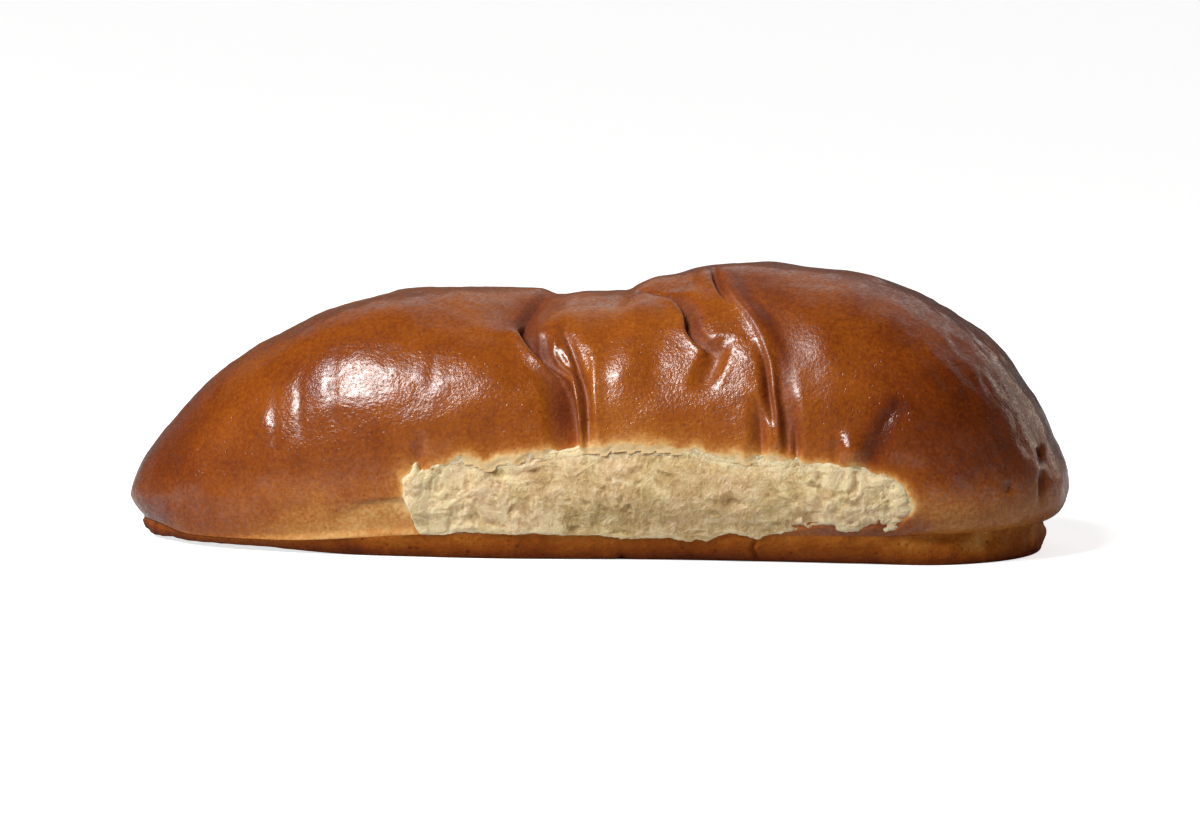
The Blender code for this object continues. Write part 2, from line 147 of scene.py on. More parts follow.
def crumbCells(points, size, seed):
    # distance to the nearest of one scattered point per cell, and that point's own value from 0 to 1
    q = points / size + seed * 7.13
    cell = np.floor(q).astype(np.int64)
    nearest = np.full(len(points), 9.0)
    value = np.zeros(len(points))
    for step in np.ndindex(3, 3, 3):
        n = cell + np.array(step) - 1
        spot = np.stack([cellShare(n, seed + k) for k in range(3)], -1)
        gap = np.sqrt(((n + spot - q) ** 2).sum(1))
        value = np.where(gap < nearest, cellShare(n, seed + 5), value)
        nearest = np.minimum(nearest, gap)
    return nearest, value


def pathLength(x, y):
    # length along a path of points, from 0 at its first
    return np.concatenate([[0], np.cumsum(np.hypot(np.diff(x), np.diff(y)))])


def planTable():
    # half of the plan outline: superellipse ends and a straight side, by u, which is x on the straight part
    # and goes on as length along the outline round the ends
    f = bunForm
    a = np.linspace(0, np.pi / 2, 6000)
    ends = []
    for side in ("left", "right"):
        tip, spine, power = f[side + "Tip"], f[side + "Spine"], 2 / f[side + "EndPower"]
        ends.append((spine + (tip - spine) * np.cos(a) ** power, -f["halfWidth"] * np.sin(a) ** power))
    lx, ly = ends[0]
    rx, ry = ends[1][0][::-1], ends[1][1][::-1]
    left, right = pathLength(lx, ly), pathLength(rx, ry)
    u = np.concatenate([f["leftSpine"] - (left[-1] - left), f["rightSpine"] + right])
    return u, np.concatenate([lx, rx]), np.concatenate([ly, ry])


planU, planX, planY = planTable()


def followCreases(x, s):
    # slides the straight part's columns so that two of them run along the deep creases
    left, right = curve(s, leftCrease), curve(s, rightCrease)
    a, b = leftCrease[1][1], rightCrease[1][1]
    start, end = bunForm["leftSpine"], bunForm["rightSpine"]
    first = start + (x - start) * (left - start) / (a - start)
    second = left + (x - a) * (right - left) / (b - a)
    third = right + (x - b) * (end - right) / (end - b)
    inside = np.where(x < a, first, np.where(x < b, second, third))
    return np.where((x > start) & (x < end), inside, x)


def sectionAngle(share):
    # angle on the section, -90 degrees at the foot to 90 on the crown, at a share of its girth
    rise, drop, undercut = bunForm["usualSection"]
    power = 2 / bunForm["sidePower"]
    a = np.linspace(-np.pi / 2, np.pi / 2, 2001)
    up, low = np.clip(a, 0, None), np.clip(a, None, 0)
    out = bunForm["halfWidth"] * np.cos(up) ** power - undercut * (1 - np.cos(low))
    girth = pathLength(out, np.where(a > 0, rise * np.sin(up) ** power, drop * np.sin(low)))
    return np.interp(share * girth[-1], girth, a)


def columnFacts(u):
    # what one column of the bun needs at u: its place on the outline, way out, power, foot and bulge
    f = bunForm
    x, y = np.interp(u, planU, planX), np.interp(u, planU, planY)
    spine = np.clip(x, f["leftSpine"], f["rightSpine"])
    reach = np.hypot(x - spine, y)
    beyond = np.where(x < f["leftSpine"], (f["leftSpine"] - x) / (f["leftSpine"] - f["leftTip"]),
                      np.clip((x - f["rightSpine"]) / (f["rightTip"] - f["rightSpine"]), 0, 1))
    tipPower = np.where(x < 0, f["leftTipPower"], f["rightTipPower"])
    blunt = smooth(*f["blunt"], x)
    return {"x": x, "spine": spine, "reach": reach, "outX": (x - spine) / reach, "outY": y / reach,
            "power": f["sidePower"] + (tipPower - f["sidePower"]) * smooth(0, 1, beyond),
            "foot": curve(x, f["footHeight"]), "inset": curve(x, f["footInset"]),
            "bulge": curve(x, f["bulge"]), "roll": curve(x, f["footRoll"]), "groove": f["groove"] * blunt,
            "blunt": blunt, "lift": f["noseLift"] * smooth(*f["noseLiftOver"], x),
            "straight": (x > f["leftSpine"]) & (x < f["rightSpine"])}


def placed(c, back, s, out, heightOf):
    # point at a distance out from the spine, at the height that the given function has for its x
    x = np.where(c["straight"], followCreases(c["x"], s), c["spine"] + c["outX"] * out)
    z = heightOf(x)
    z = z + c["lift"] * np.clip(1 - z / c["bulge"], 0, 1)
    return np.stack([x, np.where(back, -1, 1) * c["outY"] * out, z], -1)


def bunSurface(u, back, share):
    # the plain dome: superellipse sections from the foot's groove, share 0, to the crown, share 1;
    # below share 0 it goes straight down the face of the foot
    c = columnFacts(u)
    angle = sectionAngle(np.clip(share, 0, 1))
    up, low = np.clip(angle, 0, None), np.clip(angle, None, 0)
    under = c["blunt"] * (c["inset"] + c["groove"]) * (1 - np.cos(low))
    under += (1 - c["blunt"]) * c["inset"] * np.abs(np.sin(low)) ** bunForm["undercutPower"]
    below = np.clip(share, None, 0) * bunForm["girth"]
    faceOut, faceUp = bunForm["footFace"]
    out = c["reach"] * np.cos(up) ** (2 / c["power"]) - under + faceOut * below
    s = np.where(back, 2 - share, share)

    def heightOf(x):
        crown = c["bulge"] + (curve(x, bunForm["crown"]) - c["bulge"]) * np.sin(up) ** (2 / c["power"])
        hollow = c["bulge"] + (c["bulge"] - c["foot"] - bunForm["footLap"]) * np.sin(low)
        return np.where(angle > 0, crown, hollow) + faceUp * below

    return placed(c, back, s, out, heightOf), s


def outwards(u, back, share):
    # unit normals of the plain dome, from steps along u and up the section
    du, dv = 0.05, 0.002
    a = bunSurface(u + du, back, share)[0] - bunSurface(u - du, back, share)[0]
    b = bunSurface(u, back, share + dv)[0] - bunSurface(u, back, np.maximum(share - dv, 0))[0]
    n = np.cross(a, b) * np.where(back, -1, 1)[:, None]
    return n / np.maximum(np.linalg.norm(n, axis=1), 1e-9)[:, None]


# Creases, pleats and ridges: line (s, x), outward height (s, mm) and widths to its left and right. Power 0
# is a round form, and others come to an edge. Lean carries the crust sideways, so that a ridge folds over
# its valley, dull weighs the gloss that it takes and the painted shade that its depth puts into the crust's
# colour, and shade (s, bake) darkens the crust along it with more painted shade
furrowDefaults = {"height": [(0, 0), (2, 0)], "offset": 0, "power": 0, "lean": 0, "dull": 1, "shade": None}
furrows = [
    # left crease: the wide valley below its pinch, the lobe's fall towards it, the thin ridge beside it,
    # a trough and the next lobe's shoulder
    dict(line=leftCrease, widths=(5.6, 0.7), power=1.25, lean=-0.1,
         height=[(0.21, 0), (0.26, -1.7), (0.31, -2.7), (0.37, -3.1), (0.43, -2.8), (0.48, -1.9),
                 (0.52, -0.6), (0.55, 0)]),
    dict(line=leftCrease, offset=-1.0, widths=(13.0, 1.5), dull=0,
         height=[(0.26, 0), (0.36, -0.7), (0.50, -1.1), (0.62, -0.8), (0.72, 0)]),
    dict(line=[(0.27, 1.2), (0.315, 1.1), (0.385, 0.8), (0.445, 0.1), (0.50, -0.8), (0.53, -1.6)],
         widths=(0.6, 0.7), power=1.2, lean=-0.3,
         height=[(0.24, 0), (0.28, 0.5), (0.36, 0.9), (0.45, 0.9), (0.50, 0.5), (0.53, 0)]),
    dict(line=[(0.27, 2.2), (0.35, 1.9), (0.42, 1.6), (0.485, 0.7), (0.565, -0.9), (0.65, -2.8)],
         widths=(1.1, 1.2),
         height=[(0.25, 0), (0.30, -0.5), (0.42, -1.0), (0.53, -1.1), (0.62, -0.6), (0.71, 0)]),
    dict(line=[(0.29, 4.0), (0.325, 3.7), (0.375, 3.2), (0.42, 2.9), (0.475, 2.6), (0.545, 2.1),
               (0.62, 0.6), (0.70, -1.4)],
         widths=(0.9, 3.2), power=1.7,
         height=[(0.26, 0), (0.32, 0.3), (0.42, 0.45), (0.55, 0.4), (0.64, 0.2), (0.72, 0)]),
    # above the pinch the long lobe's edge overhangs the crease, and two thin pleats run down beside it
    dict(line=leftCrease, widths=(0.8, 3.8), power=1.15, lean=-0.35,
         height=[(0.48, 0), (0.52, -1.5), (0.57, -2.3), (0.63, -3.1), (0.67, -2.5), (0.73, -1.0), (0.78, 0)]),
    dict(line=leftCrease, widths=(2.6, 6.0),
         height=[(0.66, 0), (0.73, -0.9), (0.80, -1.0), (0.88, -0.9), (0.96, -0.8), (1.05, -0.7),
                 (1.2, -0.6), (1.35, -0.9), (1.55, -0.7), (1.75, 0)]),
    dict(line=leftCrease, offset=-1.5, widths=(2.6, 1.0), power=1.5,
         height=[(0.49, 0), (0.55, 0.15), (0.66, 0.2), (0.72, 0.1), (0.78, 0)]),
    dict(line=leftCrease, offset=-0.3, widths=(6.5, 1.6), power=1.0,
         height=[(0.66, 0), (0.74, -1.2), (0.85, -1.2), (0.95, -0.6), (1.03, 0)]),
    dict(line=[(0.51, -2.8), (0.54, -4.6), (0.58, -5.7), (0.62, -6.3), (0.70, -7.1), (0.77, -7.7)],
         widths=(0.5, 0.8), power=1.2, lean=-0.3,
         height=[(0.50, 0), (0.54, 0.3), (0.62, 0.4), (0.72, 0.55), (0.78, 0.4), (0.84, 0)]),
    dict(line=[(0.50, -0.8), (0.515, -1.6), (0.55, -3.2), (0.58, -4.0), (0.62, -4.2), (0.68, -4.6)],
         widths=(0.5, 0.8), power=1.2, lean=-0.3,
         height=[(0.485, 0), (0.52, 0.55), (0.60, 0.45), (0.66, 0.2), (0.71, 0)]),
    # right crease: a thin ridge with a smooth trough to its right, with painted shade along the trough,
    # and dark grooves and a bump to its left
    dict(line=rightCrease, offset=1.35, widths=(1.3, 3.2),
         height=[(0.25, 0), (0.275, -0.8), (0.31, -1.2), (0.40, -1.1), (0.46, -0.8), (0.53, -0.2), (0.57, 0),
                 (0.62, 0), (1.12, 0), (1.2, -0.1), (1.35, -0.8), (1.55, -0.7), (1.75, 0)]),
    dict(line=rightCrease, offset=3.9, widths=(3.7, 8.0), dull=0.8,
         height=[(0.40, 0), (0.46, -0.4), (0.52, -0.6), (0.60, -0.6), (0.74, -0.6), (0.83, -0.3), (0.90, 0)]),
    # painted shade along the trough, with no relief of its own
    dict(line=rightCrease, offset=2.4, widths=(2.2, 2.4),
         shade=[(0.45, 0), (0.55, 0.12), (0.80, 0.12), (0.90, 0)]),
    dict(line=rightCrease, widths=(0.6, 0.9), power=1.2, lean=0.2, dull=-1.8,
         height=[(0.27, 0), (0.31, 0.2), (0.5, 0.25), (0.62, 0.45), (0.72, 0.5), (0.80, 0.3), (0.86, 0)]),
    dict(line=rightCrease, offset=-0.6, widths=(1.5, 0.5), power=1.2,
         height=[(0.33, 0), (0.37, -1.2), (0.42, -2.0), (0.47, -1.5), (0.52, -0.6), (0.57, 0)]),
    dict(line=rightCrease, offset=-0.5, widths=(1.0, 0.7), power=1.2, lean=-0.3,
         height=[(0.68, 0), (0.74, -0.9), (0.80, -1.6), (0.86, -1.3), (0.93, -0.5), (0.99, 0)]),
    dict(line=rightCrease, offset=-2.6, widths=(2.0, 1.6),
         height=[(0.78, 0), (0.86, 0.5), (0.95, 0.3), (1.02, 0)]),
    dict(line=rightCrease, offset=-2.6, widths=(2.2, 1.3), power=1.3,
         height=[(0.22, 0), (0.26, -0.9), (0.32, -1.2), (0.37, -0.6), (0.41, 0)]),
    dict(line=rightCrease, offset=2.7, widths=(0.7, 1.2), power=1.2,
         height=[(0.22, 0), (0.25, -0.6), (0.29, -0.8), (0.34, -0.4), (0.38, 0)]),
    # pleat on the middle lobe: a groove under a sharp edge, its rim, a thin ridge in it, and a shaded valley
    dict(line=[(0.53, 20.4), (0.56, 18.7), (0.61, 17.0), (0.67, 16.3), (0.72, 15.2), (0.76, 14.0),
               (0.80, 12.4), (0.85, 9.4), (0.88, 7.4)],
         widths=(0.7, 3.2), power=1.1, lean=-0.35,
         height=[(0.51, 0), (0.54, -0.9), (0.58, -1.7), (0.64, -2.1), (0.72, -1.9), (0.80, -1.7),
                 (0.86, -0.9), (0.91, 0)]),
    dict(line=[(0.53, 19.4), (0.56, 17.7), (0.61, 16.0), (0.67, 15.3), (0.72, 14.2), (0.76, 13.0),
               (0.80, 11.4), (0.85, 8.4)],
         widths=(2.4, 0.8), power=1.5, height=[(0.52, 0), (0.58, 0.1), (0.70, 0.15), (0.80, 0.4), (0.86, 0)]),
    dict(line=[(0.54, 21.8), (0.56, 20.9), (0.61, 19.1), (0.67, 17.9), (0.71, 17.0)],
         widths=(0.7, 0.9), power=1.2, lean=0.2,
         height=[(0.53, 0), (0.57, 0.3), (0.65, 0.35), (0.70, 0.2), (0.73, 0)]),
    dict(line=[(0.42, 20.0), (0.46, 20.6), (0.49, 21.2), (0.52, 21.7), (0.555, 22.2), (0.58, 22.6)],
         widths=(3.4, 2.6), dull=0.5,
         height=[(0.41, 0), (0.45, -0.7), (0.49, -1.1), (0.53, -0.9), (0.56, -0.4), (0.58, 0)]),
    # groove on the blunt lobe, with painted shade along it
    dict(line=[(0.2, 45.0), (0.30, 46.8), (0.36, 48.2), (0.40, 49.8)], widths=(2.2, 3.4), power=1.3, dull=0,
         height=[(0.18, 0), (0.24, -0.35), (0.34, -0.45), (0.38, -0.6), (0.42, -0.25), (0.44, 0)],
         shade=[(0.18, 0), (0.24, 0.2), (0.36, 0.26), (0.41, 0.2), (0.44, 0)]),
    # slits in the blunt end
    dict(line=[(0.23, 72.3), (0.31, 72.6)], widths=(0.5, 0.6), power=1.2,
         height=[(0.235, 0), (0.26, -0.9), (0.29, -0.9), (0.31, 0)]),
    dict(line=[(0.08, 72.1), (0.25, 72.3)], widths=(0.6, 0.8), power=1.2,
         height=[(0.085, 0), (0.12, -0.9), (0.20, -1.1), (0.24, 0)]),
    dict(line=[(0.14, 66.9), (0.21, 67.1)], widths=(0.35, 0.4), power=1.2,
         height=[(0.145, 0), (0.16, -0.5), (0.19, -0.5), (0.21, 0)]),
    # shallow upright dents along the long lobe, the last of them at the back
    dict(line=[(0.15, -24.5), (0.32, -24.6)], widths=(1.3, 1.5), power=1.3,
         height=[(0.17, 0), (0.21, -0.8), (0.26, -0.9), (0.33, 0)]),
    dict(line=[(0.42, -22.8), (0.56, -23.2)], widths=(0.9, 1.3),
         height=[(0.43, 0), (0.47, -0.16), (0.53, -0.14), (0.57, 0)]),
    dict(line=[(0.35, -38.6), (0.62, -39.6)], widths=(1.3, 1.5),
         height=[(0.34, 0), (0.40, -0.18), (0.52, -0.16), (0.62, 0)]),
    dict(line=[(0.33, -44.0), (0.55, -44.9)], widths=(0.9, 1.1),
         height=[(0.30, 0), (0.36, -0.2), (0.46, -0.16), (0.56, 0)]),
    dict(line=[(0.32, -48.3), (0.52, -49.4)], widths=(0.9, 1.0),
         height=[(0.28, 0), (0.34, -0.2), (0.44, -0.16), (0.54, 0)]),
    dict(line=[(1.35, -22), (1.7, -24)], widths=(2.6, 3.5), power=1.3,
         height=[(1.3, 0), (1.5, -0.9), (1.72, -0.7), (1.8, 0)]),
]

# Round dimples and bumps: x, s, radius in x, radius in s, outward mm
dimples = [(-12.0, 0.83, 6.5, 0.13, -1.3), (11.5, 0.86, 4.5, 0.10, -1.3), (-35.0, 1.0, 6.0, 0.35, -0.4),
           (-22.0, 0.47, 7.0, 0.15, 0.6), (-50.5, 0.40, 2.4, 0.07, 0.3), (6.0, 0.45, 4.0, 0.12, 0.6),
           (42.9, 0.27, 2.0, 0.042, 1.3), (40.8, 0.27, 0.7, 0.040, -0.7), (52.0, 0.235, 3.0, 0.035, -0.35),
           (30.0, 0.55, 9.0, 0.30, 0.5), (8.0, 1.35, 9.0, 0.25, -0.8), (-40.0, 1.5, 9.0, 0.25, 0.6)]

# Dents and swellings of the ends: place, reach and outward mm
endDents = [((72.5, -12.0, 16.0), (2.0, 2.0, 6.5), -0.6), ((70.0, -15.0, 10.0), (2.5, 1.6, 4.0), -0.5),
            ((73.0, 9.0, 20.0), (3.0, 3.0, 8.0), -1.0), ((-70.0, 8.0, 16.0), (4.0, 2.5, 6.0), -0.7),
            ((-71.0, -2.0, 20.0), (8.0, 14.0, 8.0), -0.6), ((73.0, 1.0, 19.0), (8.0, 15.0, 4.5), -1.3),
            ((70.0, 1.0, 26.5), (8.0, 16.0, 5.5), -1.1), ((60.0, 0.0, 38.0), (9.0, 15.0, 6.0), -0.6),
            ((-58.0, 0.0, 28.0), (12.0, 16.0, 8.0), 0.3)]

crustLook = {
    "columns": 620, "rows": 150,
    # more columns at the creases and the groove: how many more, and the steps in and out
    "closer": [(1.3, (-15, -8), (8, 4)), (1.3, (14, 20), (42, 37)), (0.6, (44, 47), (56, 53))],
    "lumps": [(19.0, 0.65, 3), (8.5, 0.28, 5), (4.2, 0.12, 7), (2.3, 0.055, 21), (1.15, 0.03, 22)],
    "middleDrop": 0.8,  # how much lower the middle lobe's side lies
    "wrinkles": [(1.9, 0.16, 41), (0.95, 0.08, 42)], "wrinkleStretch": (1, 0.55, 0.30), "wrinkleSlant": 0.7,
    "scarDepth": 0.45,
    "rim": (0.12, 2.6),  # rise of the crust towards a tear, and its reach
    "cliff": 0.3,  # how far the crust's torn edge turns in
    "lap": 0.7,  # how far the crust goes on under the crumb
}

tearLook = {  # sizes, heights and seeds of the noise along the torn edges
    "ragged": [(3.6, 0.40, 0), (1.4, 0.36, 1), (0.6, 0.24, 2)],
    "spikes": [(1.3, 1.2, 3)], "barbs": [(0.6, 0.9, 4)],
    "hem": 0.7, "frayed": [(2.7, 0.9, 9), (0.9, 0.7, 10), (0.45, 0.35, 11)],
    "under": [(3.1, 0.22, 5), (1.2, 0.28, 6), (0.5, 0.20, 7)],
    "tongues": [(1.5, 1.1, 12)], "tonguesFrom": 0.385, "sideways": [(0.9, 0.8, 8)],
    "spacing": 0.22,
}

tears = {
    "front": {
        "back": False,
        "top": [(-26.6, 0.170), (-26.3, 0.192), (-25.8, 0.21), (-24.6, 0.205), (-22.8, 0.203), (-21, 0.218),
                (-19.2, 0.246), (-17.4, 0.252), (-16, 0.244), (-11.7, 0.250), (-3, 0.269), (3.9, 0.284),
                (10, 0.280), (13.5, 0.275), (20, 0.259), (26, 0.244), (34, 0.238), (43, 0.228), (47.4, 0.208),
                (51.3, 0.174), (52.6, 0.13)],
        "low": [(-26.6, 0.160), (-26.3, 0.130), (-25.9, 0.090), (-25.4, 0.052), (-24.7, 0.027),
                (-23.9, 0.010), (-18, 0.018), (-12, 0.010), (-5.7, 0.014), (1, 0.004), (6.9, -0.006),
                (13.2, -0.010), (18, -0.014), (21.3, -0.008), (24.6, 0.022), (26.4, 0.004), (28.3, -0.010),
                (30, 0.012), (33.7, 0.034), (38.4, 0.055), (44, 0.038), (47.6, 0.052), (50.2, 0.038),
                (51.6, 0.058), (52.6, 0.11)],
        "skin": [(-17, 0), (-14, 0.4), (-7, 0.5), (-3, 0), (0, 0), (5, 0.4), (10, 0.3), (13, 0), (52, 0)],
        "fluffy": [(-31, 0.9), (-22, 0.8), (-16, 0.0), (44, 0.0), (48, 0.5), (53, 0.6)],
        "spiky": (-29, -22), "seed": 31,
    },
    "back": {
        "back": True,
        "top": [(-46, 0.11), (-42, 0.19), (-30, 0.235), (-20, 0.25), (-5, 0.262), (8, 0.246), (22, 0.262),
                (32, 0.24), (38, 0.2), (41, 0.12)],
        "low": [(-46, 0.09), (-42, 0.03), (-30, 0.0), (-14, 0.01), (0, -0.006), (16, 0.012), (27, -0.004),
                (36, 0.03), (41, 0.09)],
        "skin": [(-46, 0), (-38, 0.2), (-30, 0.7), (-22, 0.9), (-12, 0.4), (0, 0.8), (9, 1.0), (18, 0.4),
                 (26, 0.2), (41, 0)],
        "fluffy": [(-46, 0.5), (-38, 0.0), (20, 0.0), (27, 0.7), (41, 0.8)],
        "spiky": (20, 36), "seed": 57,
    },
}


def tearOutline(tear, skin=0.0):
    # closed ragged outline in (u, millimetres up the girth): smooth knots plus noise of three sizes, taller
    # and more pointed in the spiky stretch; skin 1 lowers the top edge to the hem of the pale skin
    look, seed = tearLook, tear["seed"]
    start, end = tear["top"][0][0], tear["top"][-1][0]
    u = np.arange(start, end + 0.01, look["spacing"])
    first, last = tear["spiky"]
    spiky = between(u, (first - 2, first), (last + 2, last))
    ends = between(u, (start, start + 2), (end, end - 2))
    spikes = np.abs(along(u, look["spikes"], seed)) + along(u, look["barbs"], seed)
    top = curve(u, tear["top"]) * bunForm["girth"] + (along(u, look["ragged"], seed) + spiky * spikes) * ends
    top -= skin * np.clip(curve(u, tear["skin"]) * (look["hem"] + along(u, look["frayed"], seed)), 0, None)
    under = along(u, look["under"], seed)
    under -= np.clip(along(u, look["tongues"], seed) - look["tonguesFrom"], 0, None)
    low = curve(u, tear["low"]) * bunForm["girth"] + under * ends
    sideways = along(top + low, look["sideways"], seed) * (1 - ends)
    return np.stack([np.concatenate([u + sideways, u[::-1] + sideways[::-1]]),
                     np.concatenate([np.maximum(top, low + 0.1), low[::-1]])], -1)


farOff = 8.0


def edgeDistance(u, g, outline):
    # signed distance in the (u, g) plane to a closed outline, negative inside; far points get one value
    result = np.full(len(u), farOff)
    lo, hi = outline.min(0) - farOff + 0.5, outline.max(0) + farOff - 0.5
    near = np.where((u > lo[0]) & (u < hi[0]) & (g > lo[1]) & (g < hi[1]))[0]
    a = outline
    b = np.roll(outline, -1, axis=0)
    ab = b - a
    for part in np.array_split(near, max(1, len(near) // 4000)):
        p = np.stack([u[part], g[part]], -1)[:, None, :]
        t = np.clip(((p - a) * ab).sum(-1) / (ab ** 2).sum(-1), 0, 1)
        gap = np.sqrt(((a + t[..., None] * ab - p) ** 2).sum(-1)).min(1)
        crosses = (a[:, 1] > p[..., 1]) != (b[:, 1] > p[..., 1])
        level = np.where(ab[:, 1] == 0, 1e-9, ab[:, 1])
        left = p[..., 0] < a[:, 0] + (p[..., 1] - a[:, 1]) / level * ab[:, 0]
        inside = (crosses & left).sum(1) % 2 == 1
        result[part] = np.where(inside, -gap, gap)
    return result


outlines = {name: tearOutline(tear) for name, tear in tears.items()}
hems = {name: tearOutline(tear, 1.0) for name, tear in tears.items()}

# The pale scar left of the tear, where the skin was pulled off: upper edge as (x, s)
scar = {"edge": [(-62, 0.0), (-54, 0.035), (-45, 0.055), (-39, 0.08), (-36.0, 0.112), (-30, 0.126),
                 (-24, 0.128)],
        "ragged": [(1.6, 0.004, 91), (0.5, 0.002, 92)], "crisp": 0.005, "faded": 0.060, "end": -25.0}


def scarMask(x, y, s):
    # 1 inside the scar and 0 outside it: its upper edge is crisp near the tear and fades out to the left
    gap = s - curve(x, scar["edge"]) - along(x, scar["ragged"], 0)
    fade = scar["crisp"] + scar["faded"] * smooth(-32, -40, x)
    return smooth(1, -1, gap / fade) * smooth(scar["end"] + 0.5, scar["end"] - 0.5, x) * (y < 0)


def crustRelief(place, s, torn, hem):
    # outward and sideways millimetres of the crust: lumps, creases, dimples, wrinkles and the torn edge's
    # turn, with the depth of its folds and their shade
    look = crustLook
    x, y, z = place.T
    out = smooth(4.5, 8, z) * lumps(place, look["lumps"])
    middle = smooth(-2, 3, x - curve(s, leftCrease)) * smooth(2.5, -2.5, x - curve(s, rightCrease))
    out -= look["middleDrop"] * middle * between(s, (0.25, 0.5), (1.0, 0.8))
    side, fold, shade = np.zeros((3, len(x)))
    for furrow in furrows:
        f = {**furrowDefaults, **furrow}
        gap = x - curve(s, f["line"]) - f["offset"]
        away = np.clip(np.abs(gap) / np.where(gap < 0, *f["widths"]), 0, 1)
        form = (1 - away) ** f["power"] if f["power"] else smooth(1, 0, away)
        height = curve(s, f["height"])
        out += height * form
        side += f["lean"] * np.abs(height) * form
        fold += np.maximum(-height * f["dull"], 0) * smooth(1, 0.2, away)
        if f["shade"]:
            shade += curve(s, f["shade"]) * form
    for atX, atS, reachX, reachS, high in dimples:
        out += high * bell((x - atX) / reachX, (s - atS) / reachS)
    for centre, reach, high in endDents:
        out += high * bell(*((place - np.array(centre)) / np.array(reach)).T)
    # fine slanting wrinkles on the blunt end and along the top of the long end
    lean = look["wrinkleSlant"]
    slant = np.stack([x + lean * z, y, z - lean * x], -1) * np.array(look["wrinkleStretch"])
    wrinkled = between(x, (40, 60), (200, 100)) * smooth(6, 14, z)
    wrinkled += 0.5 * smooth(-25, -45, x) * smooth(20, 30, z)
    out += wrinkled * sum(height * ridges(slant, size, seed) for size, height, seed in look["wrinkles"])
    rise, reach = look["rim"]
    out += rise * np.exp(-np.clip(torn, 0, None) / reach) * (torn < farOff - 1)
    out -= look["scarDepth"] * scarMask(x, y, s) + look["cliff"] * smooth(0.12, -0.40, hem)
    return out, side, fold, shade


# Brown of the crust, with painted shade in its folds and creases and on the blunt end, from 0, pale, to 1,
# dark. Each term is an amount and the smooth steps that bound it
crustBrownAndShade = {
    "base": 0.66, "lumps": [(14.0, 0.05, 61), (5.0, 0.05, 62)],
    "terms": [
        (0.07, [("z", 30, 44), ("x", -5, 20)]),  # top of the middle and blunt lobes
        (0.12, [("x", 30, 52)]),  # blunt lobe
        (0.05, [("x", -20, -40)]),  # long lobe
        (0.12, [("x", -55, -72)]),  # and its tip
        (-0.10, [("x", -62, -30), ("x", 62, 50), ("z", 20, 8)]),  # low down, where the next bun shaded it
        (-0.34, [("x", 48, 60), ("z", 16, 8)]),  # low on the blunt end
        (-0.03, [("x", -6, 0), ("x", 30, 24)]),  # middle lobe
    ],
    # painted shade on the blunt end, which turns away from the key light
    "paintedShadeSpot": (62, 24, 9, 0.16),  # x, z, radius, amount
    "palePatch": (-42, 13, -0.14),  # x, reach, amount, low on the front
    # fold is painted shade darkening the folds, full at foldDepth mm deep
    "fold": 0.20, "foldDepth": 2.5, "scar": -0.22,
    "rims": [(0.36, 0.8), (0.14, 3.0)], "rimLumps": [(2.2, 0.45, 63)],  # paler near a tear: amount, reach
    "tornEdge": 0.4, "rimsFrom": (3.2, 6.5),  # mm up the girth
}


def crustBakeAndShade(place, s, torn, fold, shade):
    # how brown the crust is: darker on top and at the ends, paler towards torn edges, in the scar and along
    # the foot, with painted shade in its folds and creases and on the blunt end
    look = crustBrownAndShade
    x, y, z = place.T
    bakeAndShade = look["base"] + lumps(place, look["lumps"]) + shade
    axes = {"x": x, "z": z}
    for amount, steps in look["terms"]:
        bakeAndShade += amount * np.prod([smooth(start, end, axes[axis]) for axis, start, end in steps], 0)
    # painted shade on the blunt end
    atX, atZ, radius, amount = look["paintedShadeSpot"]
    bakeAndShade += amount * bell((x - atX) / radius, (z - atZ) / radius)
    atX, reach, amount = look["palePatch"]
    bakeAndShade += amount * (y < 0) * bell((x - atX) / reach) * smooth(16, 6, z)
    # painted shade in the folds, by their depth, and the paler scar
    bakeAndShade += look["fold"] * np.clip(fold / look["foldDepth"], 0, 1) + look["scar"] * scarMask(x, y, s)
    near = np.clip(torn + lumps(place, look["rimLumps"]), 0, None)
    paler = sum(amount * np.exp(-near / reach) for amount, reach in look["rims"])
    paler += look["tornEdge"] * smooth(0.2, -0.6, torn)
    bakeAndShade -= paler * smooth(*look["rimsFrom"], np.minimum(s, 2 - s) * bunForm["girth"])
    return np.clip(bakeAndShade, 0.02, 1)


def gridFaces(index):
    # two triangles for each square of a grid of point numbers, leaving out those with a repeated point
    a, b, c, d = index[:-1, :-1], index[:-1, 1:], index[1:, 1:], index[1:, :-1]
    faces = np.concatenate([np.stack([a, b, c], -1).reshape(-1, 3), np.stack([a, c, d], -1).reshape(-1, 3)])
    real = (faces[:, 0] != faces[:, 1]) & (faces[:, 1] != faces[:, 2]) & (faces[:, 0] != faces[:, 2])
    return faces[real]


def ringFaces(x, rows, spineRow):
    # faces of closed rings, whose front and back meet along the spine in one row; x is each column's
    columns = len(x)
    number = np.arange(rows * columns).reshape(rows, columns)
    own = np.arange(columns)
    met = np.minimum(own, columns - own)
    met = np.where(x <= bunForm["leftSpine"], 0, np.where(x >= bunForm["rightSpine"], columns // 2, met))
    number[spineRow] = number[spineRow][met]
    return gridFaces(np.concatenate([number, number[:, :1]], axis=1))


def pointNormals(points, faces):
    # each point's normal: the sum of its faces' cross products, made unit length
    a, b, c = points[faces[:, 0]], points[faces[:, 1]], points[faces[:, 2]]
    cross = np.repeat(np.cross(b - a, c - a), 3, axis=0)
    total = np.stack([np.bincount(faces.ravel(), cross[:, k], len(points)) for k in range(3)], -1)
    return total / np.maximum(np.linalg.norm(total, axis=1), 1e-12)[:, None]


def addObject(name, data):
    thing = bpy.data.objects.new(name, data)
    bpy.context.scene.collection.objects.link(thing)
    return thing


